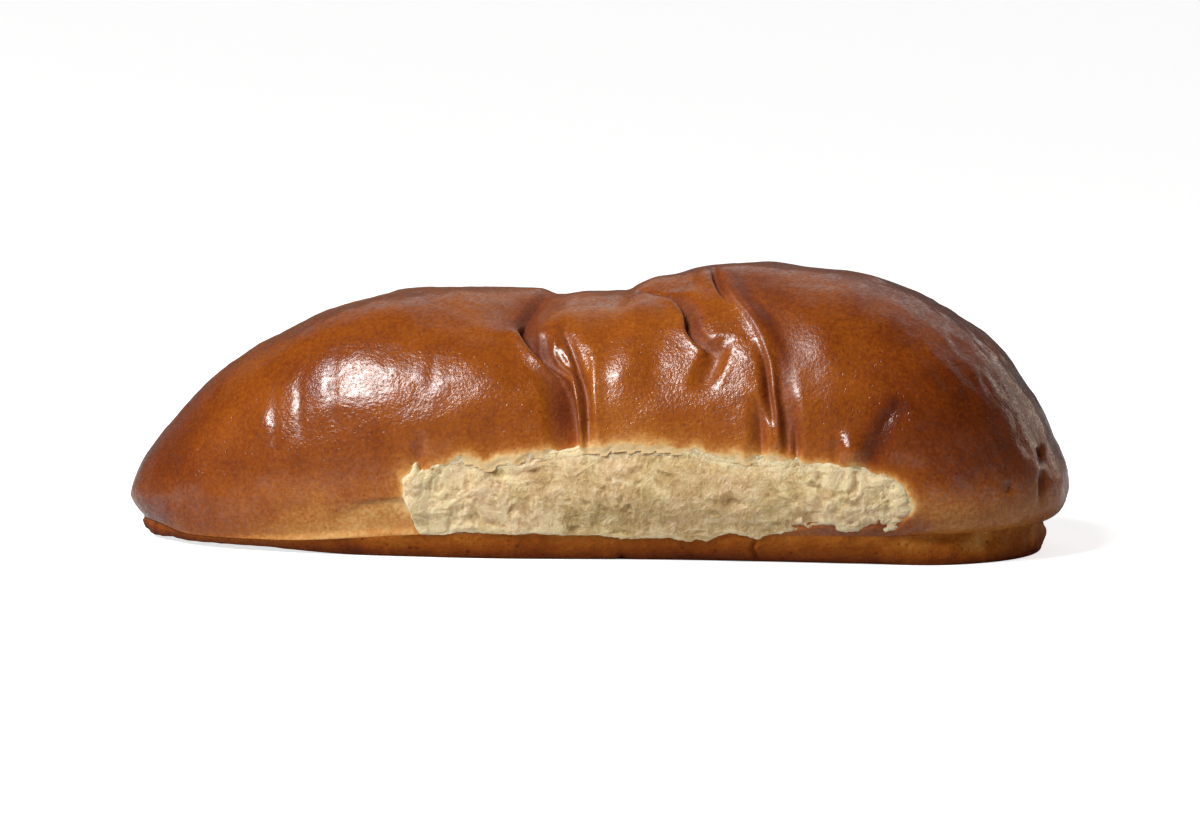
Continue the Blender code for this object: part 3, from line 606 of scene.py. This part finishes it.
def makePiece(name, points, faces, material, attributes):
    # a mesh from millimetre points and triangles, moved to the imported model's place, with float attributes
    used, faces = np.unique(faces, return_inverse=True)
    faces = faces.reshape(-1, 3)
    points = (points[used] - np.array([*bunForm["boxCentre"], 0])) * mm
    mesh = bpy.data.meshes.new(name)
    mesh.vertices.add(len(points))
    mesh.vertices.foreach_set("co", points.astype(np.float32).ravel())
    mesh.loops.add(faces.size)
    mesh.loops.foreach_set("vertex_index", faces.astype(np.int32).ravel())
    mesh.polygons.add(len(faces))
    mesh.polygons.foreach_set("loop_start", np.arange(0, faces.size, 3, dtype=np.int32))
    mesh.polygons.foreach_set("use_smooth", np.ones(len(faces), bool))
    mesh.update(calc_edges=True)
    for key, values in attributes.items():
        mesh.attributes.new(key, "FLOAT", "POINT").data.foreach_set("value", values[used].astype(np.float32))
    mesh.materials.append(material)
    piece = addObject(name, mesh)
    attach(piece, "root")
    print(name, len(faces), "triangles")
    return piece


def ringColumns():
    # u and side of the columns all the way round, front from tip to tip and then the back: evenly spaced
    # but for the stretches that have more
    fine = np.linspace(planU[0], planU[-1], 8000)
    weight = 1 + sum(more * between(fine, rise, fall) for more, rise, fall in crustLook["closer"])
    length = np.concatenate([[0], np.cumsum((weight[1:] + weight[:-1]) / 2)])
    u = np.interp(np.linspace(0, length[-1], crustLook["columns"] // 2 + 1), length, fine)
    back = np.arange(crustLook["columns"]) >= len(u)
    return np.concatenate([u, u[-2:0:-1]]), back


def buildCrust(material):
    # the browned skin: the plain dome on a grid of columns and sections, pushed out by the relief
    u, back = ringColumns()
    c = columnFacts(u)
    shares = np.linspace(0, 1, crustLook["rows"])
    rows = len(shares)
    sections = [bunSurface(u, back, np.full(len(u), share)) for share in shares]
    place, s = [np.concatenate(part) for part in zip(*sections)]
    faces = ringFaces(c["x"], rows, -1)
    normal = pointNormals(place, faces)
    allU, allBack = np.tile(u, rows), np.tile(back, rows)
    g = np.repeat(shares, len(u)) * bunForm["girth"]
    torn, hem = np.full((2, len(place)), farOff)
    for name, tear in tears.items():
        own = allBack == tear["back"]
        torn = np.where(own, edgeDistance(allU, g, outlines[name]), torn)
        hem = np.where(own, edgeDistance(allU, g, hems[name]), hem)
    out, side, fold, shade = crustRelief(place, s, torn, hem)
    above = smooth(0.0, 1.2, place[:, 2] - np.tile(c["foot"] + bunForm["footLap"], rows))
    moved = place + normal * (out * above)[:, None]
    moved[:, 0] += side * above
    keep = ~((hem[faces] < -crustLook["lap"]).all(1) & (g[faces] > 0.8).all(1))
    looks = {"bakeAndShade": crustBakeAndShade(moved, s, torn, fold, shade), "fold": np.clip(fold / 1.3, 0, 1)}
    return makePiece("bunCrust", moved, faces[keep], material, looks)


footLook = {
    "rings": 22, "baseRings": (0, 0.3, 0.55, 0.75, 0.88, 0.95),  # up the edge, and across the base
    "wallRound": 1.4,
    "uprightLumps": [(5.0, 0.20, 71), (1.6, 0.10, 72)],
    "lumps": [(0.9, 0.04, 73)], "endLumps": [(1.5, 0.35, 74)],
    "crack": (27.8, 0.35, 0.7), "notch": (6.9, 0.5, 0.5),  # x, width, depth
    # darker towards the foot's lower edge, by height: painted shade where it turns under
    "bakeAndShade": [(0, 0.92), (0.8, 0.79), (1.6, 0.68), (2.6, 0.59), (3.8, 0.51), (5, 0.50)],  # by height in mm
    "uprightBake": [(6.0, 0.06, 75)], "spotBake": [(2.0, 0.05, 76)], "middleBake": 0.08, "tipBake": 0.14,
    "endPale": 0.16, "paleLumps": [(2.4, 1.0, 77)],
    "baseBake": 0.80, "baseLumps": [(7.0, 0.10, 78), (2.5, 0.06, 79)],
}


def footRings(c):
    # distance out and height of each ring, from the middle of the base to the groove under the dome
    look, blunt, slope = footLook, c["blunt"], np.pi / 4
    top = c["foot"] + bunForm["footLap"]
    rings = []
    for k in np.linspace(1, 0, look["rings"]):
        # k is 1 at the base and 0 at the groove: an arc that rolls under, or an upright wall at the blunt end
        a, w = slope * (1 + k), 2 * slope * k
        roll = c["roll"] * (1 - np.cos(a) / np.cos(slope))
        wall = look["wallRound"] * (1 - np.cos(w) ** 0.5) + c["groove"] * smooth(0.12, 0, k)
        fall = (np.sin(a) - np.sin(slope)) / (1 - np.sin(slope))
        wallFall = np.sin(w) ** 0.5
        rings.append((c["reach"] - c["inset"] - roll * (1 - blunt) - wall * blunt,
                      top * (1 - fall * (1 - blunt) - wallFall * blunt)))
    return [(rings[0][0] * k, np.zeros(len(top))) for k in look["baseRings"]] + rings


def buildFoot(material):
    # the flat baked base and its edge, with lumps, the crack and the notch
    look = footLook
    u, back = ringColumns()
    c = columnFacts(u)
    s = np.where(back, 2.0, 0.0)
    rings = footRings(c)
    place = np.concatenate([placed(c, back, s, out, lambda x, z=z: z) for out, z in rings])
    faces = ringFaces(c["x"], len(rings), 0)
    normal = pointNormals(place, faces)
    x, y, z = place.T
    front = y < 0
    blunt = smooth(48, 60, x)
    wall = smooth(0.05, 0.8, z) * smooth(0.0, 0.5, np.tile(c["foot"] + bunForm["footLap"], len(rings)) - z)
    upright = place * np.array([1, 1, 0.25])
    out = wall * (lumps(upright, look["uprightLumps"]) + lumps(place, look["lumps"]))
    out += wall * (blunt + smooth(-64, -70, x)) * lumps(place * np.array([1, 1, 0.6]), look["endLumps"])
    at, width, depth = look["crack"]
    out -= depth * wall * front * bell((x - at - 0.25 * np.sin(z * 2)) / width)
    at, width, depth = look["notch"]
    out -= depth * front * smooth(2.2, 0.4, z) * (z > 0.01) * bell((x - at) / width)
    moved = place + normal * out[:, None]
    moved[:, 2] = np.where(z < 0.01, z, np.maximum(moved[:, 2], 0.01))
    # darker towards the lower edge: painted shade where the foot turns under
    bakeAndShade = curve(z, look["bakeAndShade"]) + lumps(upright, look["uprightBake"]) + lumps(place, look["spotBake"])
    bakeAndShade += look["middleBake"] * between(x, (10, 16), (30, 26)) + look["tipBake"] * smooth(-58, -68, x)
    bakeAndShade -= look["endPale"] * blunt * smooth(-0.2, 0.7, lumps(place, look["paleLumps"])) * smooth(0.6, 2.0, z)
    base = smooth(0.6, 0.05, z)
    bakeAndShade = bakeAndShade * (1 - base) + base * (look["baseBake"] + lumps(place, look["baseLumps"]))
    return makePiece("footCrust", moved, faces, material, {"bakeAndShade": np.clip(bakeAndShade, 0, 1)})


crumbLook = {
    "spacing": 0.16, "margin": 1.3,  # of the grid that carries the crumb
    "proud": 0.22, "fluffProud": 0.4,  # of the crust along the upper edge, and more where it is fluffy
    "warpAlong": [(2.6, 1.1, 20)], "warpUp": [(2.2, 0.7, 21)],  # size, height, seed
    "swell": [(5.0, 0.25, 22)], "swellStretch": (0.5, 1, 1),
    "puffs": [(4.2, 0.45, 81), (2.0, 0.30, 82), (0.9, 0.18, 87)], "puffStretch": (0.75, 1, 1),
    "pits": [(2.2, 0.40, 83, 0.24), (1.1, 0.22, 84, 0.22)], "pitStretch": (0.62, 1, 1),  # and share of cells
    "strands": [(1.3, 0.06, 85, (0.3, 1, 1)), (0.6, 0.06, 86, (0.45, 1, 1)), (0.6, 0.07, 89, (1, 0.4, 1))],
    # torn layers under the upper edge
    "layerHeight": 0.08, "layerReach": 2.6, "layerSize": 0.9,
    "layerWaves": [(2.4, 0.9, 88)], "layerFray": [(0.9, 0.3, 89)],
    "fluffRise": 0.32, "fringeRise": 0.35, "sink": 2.6,
    "fringe": 0.32, "fringeRough": 0.35,  # how far its lower edge stands off the foot
}


def crumbHeight(u, g, torn, tear):
    # outward mm of the torn crumb: rounded puffs with thin creases between them, from absolute noise,
    # pulled-out pits and level strands, sinking under the crust beyond the torn outline; with pits and rise
    # from 0 to 1 for its colour: pits darken it with painted shade, and rise lightens it with painted light
    # on the raised puffs and strands and with the paler fluff, torn layers and fringe
    look, seed = crumbLook, tear["seed"]
    flat = np.stack([u, g, np.zeros(len(u))], -1)
    warp = flat.copy()
    warp[:, 0] += lumps(flat, look["warpAlong"], seed)
    warp[:, 1] += lumps(flat, look["warpUp"], seed)
    fluffy = curve(u, tear["fluffy"])
    out = (look["proud"] + look["fluffProud"] * fluffy) * smooth(-3.0, -0.6, torn) * smooth(2, 5, g)
    out += lumps(flat * np.array(look["swellStretch"]), look["swell"], seed)
    soft, pits = np.zeros((2, len(u)))
    # soft also lightens the crumb's colour through rise: painted light on the raised puffs
    for size, height, own in look["puffs"]:
        lump = np.sqrt(noise(warp * np.array(look["puffStretch"]), size, own + seed) ** 2 + 0.015)
        soft += height * (1.5 * lump - 0.5)
    out += soft * (1 + 0.4 * fluffy)
    # each pit sinks the crumb and darkens its colour: painted shade
    for size, depth, own, share in look["pits"]:
        gap, value = crumbCells(warp * np.array(look["pitStretch"]), size, own + seed)
        pit = smooth(0.62, 0.0, gap) * (value < share)
        out -= depth * pit
        pits = np.maximum(pits, pit)
    # strands stand out and lighten it along their crests, painted light on them
    for size, height, own, stretch in look["strands"]:
        strand = ridges(warp * np.array(stretch), size, own + seed) ** 3
        out += height * strand
        soft += 3.0 * height * (strand - 0.3)
    # thin torn layers hang below the upper edge, each stepping in under the one above it
    knots = np.linspace(tear["top"][0][0], tear["top"][-1][0], 400)
    below = np.interp(u, knots, curve(knots, tear["top"]) * bunForm["girth"]) - g
    near = between(below, (-2, 0), (look["layerReach"], 0.6)) * (1 - fluffy)
    wave = below + lumps(flat * np.array([0.5, 0.3, 1]), look["layerWaves"]) + lumps(flat, look["layerFray"])
    layer = wave / look["layerSize"] % 1
    out += near * look["layerHeight"] * (0.5 - smooth(0.72, 0.95, layer) - 0.25 * layer)
    soft += near * 0.25 + look["fluffRise"] * fluffy
    soft += look["fringeRise"] * smooth(-0.9, -0.2, torn) * smooth(3, 1, g)
    out -= look["sink"] * smooth(0.0, 0.8, torn)
    return out, pits, np.clip(0.5 + soft * 0.8, 0, 1)


def buildCrumb(name, tear, material):
    # the torn face: a fine grid in (u, g) laid on the plain dome and pushed by the crumb's height
    look, outline, back = crumbLook, outlines[tear], tears[tear]["back"]
    low, high = outline.min(0) - look["margin"], outline.max(0) + look["margin"]
    gridU, gridG = np.meshgrid(*[np.arange(low[k], high[k], look["spacing"]) for k in range(2)])
    u, g = gridU.ravel(), gridG.ravel()
    backs = np.full(len(u), back)
    torn = edgeDistance(u, g, outline)
    place = bunSurface(u, backs, g / bunForm["girth"])[0]
    normal = outwards(u, backs, np.maximum(g, 0.2) / bunForm["girth"])
    out, pits, rise = crumbHeight(u, g, torn, tears[tear])
    # its lower edge laps over the foot
    fringe = smooth(3.0, 0.3, g) * smooth(0.3, -0.2, torn)
    out = out * (1 - fringe) + (look["fringe"] + look["fringeRough"] * np.clip(out, -0.6, 0.6)) * fringe
    faces = gridFaces(np.arange(gridU.size).reshape(gridU.shape))
    faces = faces[:, ::-1] if back else faces
    keep = (torn[faces] < 1.2).any(1)
    moved = place + normal * out[:, None]
    return makePiece(name, moved, faces[keep], material, {"pit": pits, "rise": rise})


def newMaterial(name):
    material = bpy.data.materials.new(name)
    material.use_nodes = True
    tree = material.node_tree
    return material, tree, tree.nodes["Principled BSDF"]


def setInputs(tree, node, inputs):
    # each named socket set to a value, or linked
    for key, value in inputs.items():
        if isinstance(value, bpy.types.NodeSocket):
            tree.links.new(value, node.inputs[key])
        else:
            node.inputs[key].default_value = value


def addNode(tree, kind, inputs=None, **settings):
    node = tree.nodes.new(kind)
    for key, value in settings.items():
        setattr(node, key, value)
    setInputs(tree, node, inputs or {})
    return node


def addMath(tree, operation, *values):
    return addNode(tree, "ShaderNodeMath", dict(enumerate(values)), operation=operation).outputs[0]


def addUp(tree, total, *terms):
    # the total plus each value times its weight
    for value, weight in terms:
        total = addMath(tree, "MULTIPLY_ADD", value, weight, total)
    return total


def addNoise(tree, where, scale, detail, roughness=0.5):
    return addNode(tree, "ShaderNodeTexNoise", {"Vector": where, "Scale": scale, "Detail": detail,
                                                "Roughness": roughness}).outputs["Fac"]


def addRange(tree, value, start, end, low=0.0, high=1.0):
    # the value's way from the start to the end, as low to high
    return addNode(tree, "ShaderNodeMapRange", {"Value": value, "From Min": start, "From Max": end,
                                                "To Min": low, "To Max": high}).outputs[0]


def addBump(tree, height, strength, distance):
    return addNode(tree, "ShaderNodeBump", {"Height": height, "Strength": strength,
                                            "Distance": distance}).outputs[0]


def readAttribute(tree, name):
    return addNode(tree, "ShaderNodeAttribute", attribute_name=name).outputs["Fac"]


def newGroup(name, values, result):
    # an empty node group with named float inputs and one output; returns it, its inputs and where it is
    tree = bpy.data.node_groups.new(name, "ShaderNodeTree")
    for key, value in values.items():
        socket = tree.interface.new_socket(name=key, in_out="INPUT", socket_type="NodeSocketFloat")
        socket.default_value = value
    tree.interface.new_socket(name=result, in_out="OUTPUT", socket_type="NodeSocketFloat")
    where = addNode(tree, "ShaderNodeTexCoord").outputs["Object"]
    return tree, tree.nodes.new("NodeGroupInput").outputs, where


def endGroup(tree, value):
    tree.links.new(value, tree.nodes.new("NodeGroupOutput").inputs[0])
    return tree


def mottleGroup():
    # cloudy variation of two sizes round 0, for the colour of crust and crumb
    values = {"Coarse Scale": 160.0, "Fine Scale": 900.0, "Fine Share": 0.4}
    tree, given, where = newGroup("bakedMottle", values, "Mottle")
    coarse = addMath(tree, "SUBTRACT", addNoise(tree, where, given["Coarse Scale"], 3.0, 0.6), 0.5)
    fine = addMath(tree, "SUBTRACT", addNoise(tree, where, given["Fine Scale"], 2.0, 0.6), 0.5)
    return endGroup(tree, addUp(tree, coarse, (fine, given["Fine Share"])))


def poreGroup():
    # small round pores: a mask that is 1 in the pores, each with its own size
    tree, given, where = newGroup("crustPores", {"Scale": 900.0, "Pore Size": 0.22}, "Pores")
    spots = addNode(tree, "ShaderNodeTexVoronoi", {"Vector": where, "Scale": given["Scale"]})
    size = addMath(tree, "MULTIPLY", given["Pore Size"], spots.outputs["Color"])
    core = addMath(tree, "MULTIPLY", size, 0.4)
    return endGroup(tree, addRange(tree, spots.outputs["Distance"], size, core))


def grainGroup():
    # fine bumps of two sizes, as one height
    values = {"Scale": 2200.0, "Second Scale": 5200.0, "Second Share": 0.35}
    tree, given, where = newGroup("skinGrain", values, "Height")
    coarse = addNoise(tree, where, given["Scale"], 1.0)
    fine = addNoise(tree, where, given["Second Scale"], 1.0)
    return endGroup(tree, addUp(tree, coarse, (fine, given["Second Share"])))


def fleckGroup():
    # broken glossy flecks: fine stretched noise cut to a mask, thinned out by patches of coarse noise
    tree, given, where = newGroup("glazeFlecks", {"Scale": 1900.0, "Patch Scale": 260.0, "Patch Share": 0.9},
                                  "Flecks")
    slanted = addNode(tree, "ShaderNodeMapping", {"Vector": where, "Rotation": (0.0, 0.6, 0.0),
                                                  "Scale": (0.55, 0.8, 1.0)}).outputs[0]
    fine = addNoise(tree, slanted, given["Scale"], 2.0, 0.6)
    patch = addMath(tree, "SUBTRACT", addNoise(tree, where, given["Patch Scale"], 2.0), 0.5)
    return endGroup(tree, addRange(tree, addUp(tree, fine, (patch, given["Patch Share"])), 0.44, 0.64))


def placeGroup(tree, group, values):
    node = tree.nodes.new("ShaderNodeGroup")
    node.node_tree = group
    setInputs(tree, node, values)
    return node.outputs[0]


def colourRamp(tree, value, stops):
    # stops run from 0 to 1
    ramp = addNode(tree, "ShaderNodeValToRGB", {"Fac": value})
    marks = ramp.color_ramp.elements
    marks[0].color, marks[1].color = (*stops[0][1], 1), (*stops[-1][1], 1)
    for at, colour in stops[1:-1]:
        marks.new(at).color = (*colour, 1)
    return ramp.outputs["Color"]


# Base colours by bake, painted shade included, from torn pale skin to the darkest brown
bakeColours = [(0.0, (0.80, 0.58, 0.30)), (0.16, (0.74, 0.44, 0.16)), (0.32, (0.58, 0.25, 0.055)),
               (0.48, (0.41, 0.125, 0.014)), (0.62, (0.31, 0.075, 0.006)), (0.80, (0.19, 0.036, 0.003)),
               (1.0, (0.10, 0.016, 0.002))]

crustPaint = {
    "mottle": {"Coarse Scale": 190.0, "Fine Scale": 1600.0, "Fine Share": 1.6}, "mottleShare": 0.24,
    "pores": {"Scale": 1050.0, "Pore Size": 0.30}, "poreShare": 0.12, "poreDepth": 0.5,
    "grain": {"Scale": 1900.0, "Second Scale": 4200.0, "Second Share": 0.4}, "bump": (1.0, 0.00007),
    "glazed": (0.25, 0.52),  # bake from which the glaze is whole
    "roughness": 0.60, "glaze": -0.37, "roughMottle": 0.10,
    "flecks": {"Scale": 2500.0, "Patch Scale": 300.0, "Patch Share": 0.7},
    "plain": {"Specular IOR Level": 0.42, "Coat Roughness": 0.16, "Coat IOR": 1.46},
}
footPaint = {
    "mottle": {"Coarse Scale": 240.0, "Fine Scale": 1300.0, "Fine Share": 0.9}, "mottleShare": 0.28,
    "pores": {"Scale": 700.0, "Pore Size": 0.34}, "poreShare": 0.16, "poreDepth": 0.7,
    "grain": {"Scale": 1500.0, "Second Scale": 3900.0, "Second Share": 0.6}, "bump": (0.7, 0.0002),
    "plain": {"Roughness": 0.6, "Specular IOR Level": 0.1},
}


def brownedAndShaded(tree, shader, groups, paint):
    # what crust and foot share: brown by bake, painted shade included, with mottle and pores, and bumps from
    # grain and pores
    bakeAndShade = readAttribute(tree, "bakeAndShade")
    mottle, pores, grain = [placeGroup(tree, groups[key], paint[key]) for key in ("mottle", "pores", "grain")]
    tone = addUp(tree, bakeAndShade, (mottle, paint["mottleShare"]), (pores, paint["poreShare"]))
    height = addUp(tree, grain, (pores, -paint["poreDepth"]))
    setInputs(tree, shader, {"Base Color": colourRamp(tree, tone, bakeColours),
                             "Normal": addBump(tree, height, *paint["bump"]), **paint["plain"]})
    return bakeAndShade, mottle


def crustMaterial(groups):
    material, tree, shader = newMaterial("glossyCrust")
    paint = crustPaint
    bakeAndShade, mottle = brownedAndShaded(tree, shader, groups, paint)
    # the glaze is smooth where the skin is whole and not folded, and brighter flecks lie over that
    unfolded = addMath(tree, "SUBTRACT", 1.0, readAttribute(tree, "fold"))
    whole = addMath(tree, "MULTIPLY", addRange(tree, bakeAndShade, *paint["glazed"]), unfolded)
    flecks = placeGroup(tree, groups["flecks"], paint["flecks"])
    rough = addUp(tree, paint["roughness"], (whole, paint["glaze"]), (mottle, paint["roughMottle"]))
    setInputs(tree, shader, {"Roughness": rough, "Coat Weight": addMath(tree, "MULTIPLY", flecks, whole)})
    return material


def footMaterial(groups):
    material, tree, shader = newMaterial("bakedFoot")
    brownedAndShaded(tree, shader, groups, footPaint)
    return material


crumbPaint = {
    "mottle": {"Coarse Scale": 330.0, "Fine Scale": 1300.0, "Fine Share": 0.6},
    # rise lightens with painted light on raised puffs and strands and with the paler fluff; pit darkens with
    # painted shade in the pits
    "tone": 0.64, "mottleShare": 1.3, "rise": 0.60, "pit": -0.24,
    "tones": [(0.0, (0.36, 0.22, 0.085)), (0.35, (0.53, 0.365, 0.165)), (0.65, (0.68, 0.50, 0.265)),
              (1.0, (0.87, 0.71, 0.45))],
    "hue": {"Coarse Scale": 140.0, "Fine Scale": 500.0, "Fine Share": 0.5}, "hueRange": (-0.18, 0.18),
    "tints": [(0.0, (1.0, 0.94, 0.95)), (1.0, (0.98, 1.0, 0.93))],  # pinkish in places, yellow in others
    "grain": {"Scale": 2600.0, "Second Scale": 6000.0, "Second Share": 0.6}, "bump": (0.8, 0.00025),
    "plain": {"Roughness": 0.8, "Specular IOR Level": 0.2, "Subsurface Weight": 0.75,
              "Subsurface Radius": (1.0, 0.88, 0.72), "Subsurface Scale": 0.0013},
}


def crumbMaterial(groups):
    material, tree, shader = newMaterial("softCrumb")
    paint = crumbPaint
    mottle = placeGroup(tree, groups["mottle"], paint["mottle"])
    # tone: mottle, then rise with its painted light, then pit with its painted shade
    tone = addUp(tree, paint["tone"], (mottle, paint["mottleShare"]),
                 (readAttribute(tree, "rise"), paint["rise"]), (readAttribute(tree, "pit"), paint["pit"]))
    hue = addRange(tree, placeGroup(tree, groups["mottle"], paint["hue"]), *paint["hueRange"])
    tinted = addNode(tree, "ShaderNodeVectorMath", {0: colourRamp(tree, tone, paint["tones"]),
                                                    1: colourRamp(tree, hue, paint["tints"])},
                     operation="MULTIPLY").outputs["Vector"]
    grain = placeGroup(tree, groups["grain"], paint["grain"])
    setInputs(tree, shader, {"Base Color": tinted, "Normal": addBump(tree, grain, *paint["bump"]),
                             **paint["plain"]})
    return material


# The floor is paler to the eye than in the light that it throws back onto the bun
stageLook = {"flat": 0.9, "far": 2.4, "height": 1.1, "rings": 60, "spokes": 97,  # metres
             "colour": 0.93, "bounced": 0.55, "glow": 0.75, "roughness": 0.9}


def buildFloor():
    # a round floor that is level under the bun and sweeps up at its rim: height grows as the square of the
    # distance past the level part
    look = stageLook
    r, a = np.meshgrid(np.linspace(0, look["far"], look["rings"]), np.linspace(0, 2 * np.pi, look["spokes"]),
                       indexing="ij")
    z = look["height"] * (np.clip(r - look["flat"], 0, None) / (look["far"] - look["flat"])) ** 2
    points = np.stack([r * np.cos(a), r * np.sin(a), z], -1).reshape(-1, 3)
    faces = gridFaces(np.arange(r.size).reshape(r.shape))
    mesh = bpy.data.meshes.new("floor")
    mesh.from_pydata(points.tolist(), [], faces.tolist())
    mesh.polygons.foreach_set("use_smooth", np.ones(len(faces), bool))
    material, tree, shader = newMaterial("paleFloor")
    seen = addNode(tree, "ShaderNodeLightPath").outputs["Is Camera Ray"]
    setInputs(tree, shader, {
        "Base Color": addUp(tree, look["bounced"], (seen, look["colour"] - look["bounced"])),
        "Roughness": look["roughness"], "Specular IOR Level": 0.0, "Emission Color": (1, 1, 1, 1),
        "Emission Strength": addMath(tree, "MULTIPLY", seen, look["glow"])})
    mesh.materials.append(material)
    floor = addObject("floor", mesh)


cameraLook = {"azimuth": 8.0, "elevation": 6.5, "distance": 0.6, "lens": 110.9, "aim": (0.35, 0.0, 20.7)}
lights = {
    "keySoftbox": {"azimuth": -40.0, "elevation": 44.0, "distance": 0.95, "size": (0.40, 0.40),
                   "power": 11.1, "colour": (1.0, 1.0, 1.0)},
    "endSoftbox": {"azimuth": 130.0, "elevation": 18.0, "distance": 0.8, "size": (0.45, 0.50),
                   "power": 0.7, "colour": (1.0, 0.80, 0.66)},
}
lightAim = (0, 0, 0.02)
# The surroundings are bright behind and above, and dark in front
worldLook = {"towards": (0.30, 0.85, 0.43), "shares": (0.50, 1.0), "strengths": (0.02, 0.62)}


def aimed(thing, look, target):
    # place and turn for a camera or light that looks at the target from its azimuth and elevation
    a, e = math.radians(look["azimuth"]), math.radians(look["elevation"])
    back = np.array([math.sin(a) * math.cos(e), -math.cos(a) * math.cos(e), math.sin(e)])
    thing.location = np.array(target) + back * look["distance"]
    thing.rotation_mode = "QUATERNION"
    thing.rotation_quaternion = Vector(-back).to_track_quat("-Z", "Y")


def buildCamera():
    data = bpy.data.cameras.new("camera")
    data.lens = cameraLook["lens"]
    data.sensor_width = 36
    data.clip_start = 0.01
    camera = addObject("camera", data)
    aimed(camera, cameraLook, (np.array(cameraLook["aim"]) - np.array([*bunForm["boxCentre"], 0])) * mm)
    bpy.context.scene.camera = camera


def buildLights():
    for name, look in lights.items():
        data = bpy.data.lights.new(name, "AREA")
        data.shape = "RECTANGLE"
        data.size, data.size_y = look["size"]
        data.energy = look["power"]
        data.color = look["colour"]
        aimed(addObject(name, data), look, lightAim)
    world = bpy.data.worlds.new("studio")
    world.use_nodes = True
    tree = world.node_tree
    where = addNode(tree, "ShaderNodeTexCoord").outputs["Generated"]
    share = addNode(tree, "ShaderNodeVectorMath", {0: where, 1: worldLook["towards"]},
                    operation="DOT_PRODUCT").outputs["Value"]
    strength = addRange(tree, share, *worldLook["shares"], *worldLook["strengths"])
    setInputs(tree, tree.nodes["Background"], {"Strength": strength, "Color": (1, 1, 1, 1)})
    bpy.context.scene.world = world
    bpy.context.scene.view_settings.view_transform = "Standard"
    bpy.context.scene.view_settings.look = "None"


def main():
    print("materials")
    groups = {"mottle": mottleGroup(), "pores": poreGroup(), "grain": grainGroup(), "flecks": fleckGroup()}
    crust, foot, crumb = crustMaterial(groups), footMaterial(groups), crumbMaterial(groups)
    print("crust and foot")
    skin = buildCrust(crust)
    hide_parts("bun")
    buildFoot(foot)
    print("torn crumb")
    buildCrumb("crumbFront", "front", crumb)
    buildCrumb("crumbBack", "back", crumb)
    print("floor, camera and lights")
    buildFloor()
    buildCamera()
    buildLights()


main()
